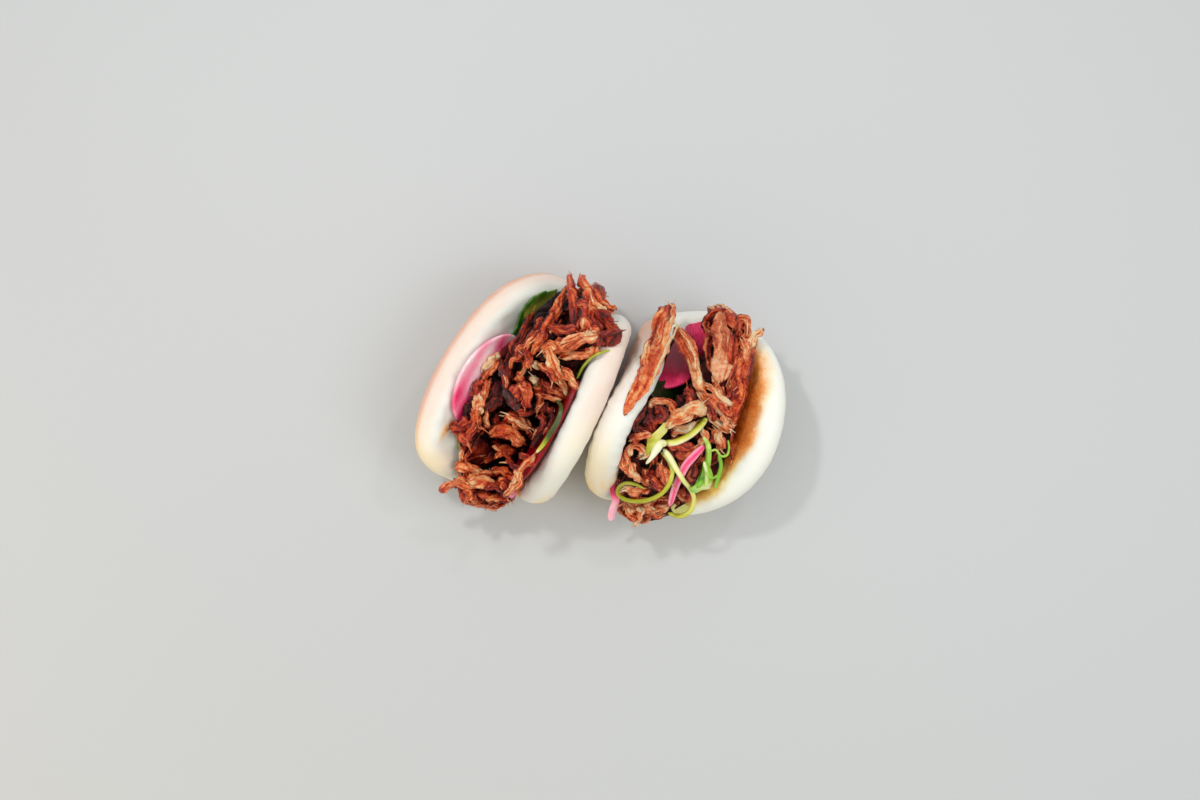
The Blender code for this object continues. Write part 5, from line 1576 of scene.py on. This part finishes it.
ribbon('scallion_right_strip', 'scallion', ['scallion_right'], SCAL_G, [(703, 437), (708, 446), (708, 460), (704, 474), (697, 488)],
       (4, 5.5, 6, 8, 8), 0.45, green(0.22, 0.62, 0.40), seed=7, curl=0.35)
petal('scallion_right_leafy', 'scallion', [], [(704, 461), (710, 467), (713, 478), (710, 488), (702, 490), (695, 493), (690, 490), (697, 483), (702, 473)], 0.5, 1.8,
      lambda V: dict(g=np.clip(0.66 - 0.03 * (proj(V)[:, 0] - 702) - 0.4 * step(proj(V)[:, 1], 478, 489), 0.1, 0.8), sv=0 * V[:, 0], su=V[:, 1] * 1000), mat=SCAL_G, cup=-1.2, wob=0.5, nth=110)
ribbon('scallion_right_strip_3', 'scallion', [], SCAL_G, [(704, 462), (707, 474), (706, 487)], (3, 4, 4), 0.45, green(0.10, 0.3), seed=18, curl=0.3)
ribbon('scallion_left_top_strip', 'scallion', ['scallion_left_top'], SCAL_M, [(610, 350), (600, 353), (591, 358), (583, 367), (577, 379)],
       (2.2, 2.8, 2.8, 2.4), 0.45, green(0.52, 0.8), seed=8, curl=0.2)
ribbon('scallion_left_low_strip', 'scallion', ['scallion_left_low'], SCAL_M, [(556, 400), (561, 407), (558, 420), (550, 434), (543, 445), (536, 453)],
       (3, 4, 5, 4.5, 3), 0.45, lambda ss, sv, su: dict(g=1.0 - 0.5 * step(ss, 0.6, 0.85) - 0.45 * step(ss, 0.86, 1.0), sv=sv, su=su), seed=9, curl=0.3)
ribbon('scallion_thin_ring_1', 'scallion', [], SCAL_G, [(711, 451), (716, 450), (721, 456), (727, 455), (729, 448), (728, 440)], (2, 2.4, 2.4, 2), 0.4, green(0.3, 0.5), seed=10, curl=0.1)
ribbon('scallion_thin_strip_2', 'scallion', [], SCAL_G, [(719, 455), (721, 466), (718, 478), (715, 489)], (3.4, 4, 4, 3), 0.4, green(0.6, 0.5), seed=11, curl=0.2)
ribbon('scallion_thin_strip_3', 'scallion', [], SCAL_G, [(706, 472), (712, 478), (718, 475)], (2, 2.4, 2), 0.4, green(0.4, 0.6), seed=12, curl=0.1)

# ---------------------------------------------------------------- floor, light, camera
fm = Mat('floor_look')
fm.set(Base_Color=lin(194, 196, 198), Roughness=0.9, Specular_IOR_Level=0.1)
floor = make('floor', np.array([[-3, -3, 0], [3, -3, 0], [3, 3, 0], [-3, 3, 0]]) + SHIFT, [[0, 1, 2, 3]], None, None, fm.m)

scene = bpy.context.scene
world_ = bpy.data.worlds.new('soft_room')
scene.world = world_
world_.use_nodes = True
bg = world_.node_tree.nodes.get('Background')
bg.inputs['Color'].default_value = (0.975, 1.0, 0.975, 1)
bg.inputs['Strength'].default_value = 0.60


def area(name, loc, size, power, colour=(1, 1, 1), target=(0, 0, 0.04)):
    L = bpy.data.lights.new(name, 'AREA')
    L.shape = 'RECTANGLE'
    L.size, L.size_y = size
    L.energy = power
    L.color = colour
    o = bpy.data.objects.new(name, L)
    o.location = loc
    o.rotation_euler = (Vector(target) - Vector(loc)).to_track_quat('-Z', 'Y').to_euler()
    scene.collection.objects.link(o)
    return o


area('key', (0.44, -0.12, 0.70), (0.46, 0.46), 1.90, (1.0, 0.99, 0.97))
area('top', (-0.10, 0.30, 0.95), (0.8, 0.8), 1.42, (0.98, 1.0, 1.0))
area('spark', (-0.22, 0.28, 0.62), (0.05, 0.05), 1.18, (1.0, 0.98, 0.95))
area('spark_low', (0.24, 0.34, 0.58), (0.05, 0.05), 0.36, (1.0, 0.98, 0.95))
area('warm_side', (-0.55, -0.15, 0.16), (0.5, 0.3), 0.7, (1.0, 0.80, 0.66))
area('warm_low', (-0.12, -0.52, 0.14), (0.5, 0.2), 0.38, (1.0, 0.84, 0.45))

cam = bpy.data.cameras.new('camera')
cam.sensor_width = 36
cam.lens = 48
cam_o = bpy.data.objects.new('camera', cam)
cam_o.location = (-SHIFT[0], -SHIFT[1], CAMD + ZREF)
scene.collection.objects.link(cam_o)
scene.camera = cam_o
scene.view_settings.view_transform = 'Standard'
scene.view_settings.look = 'None'
scene.view_settings.exposure = 0.0
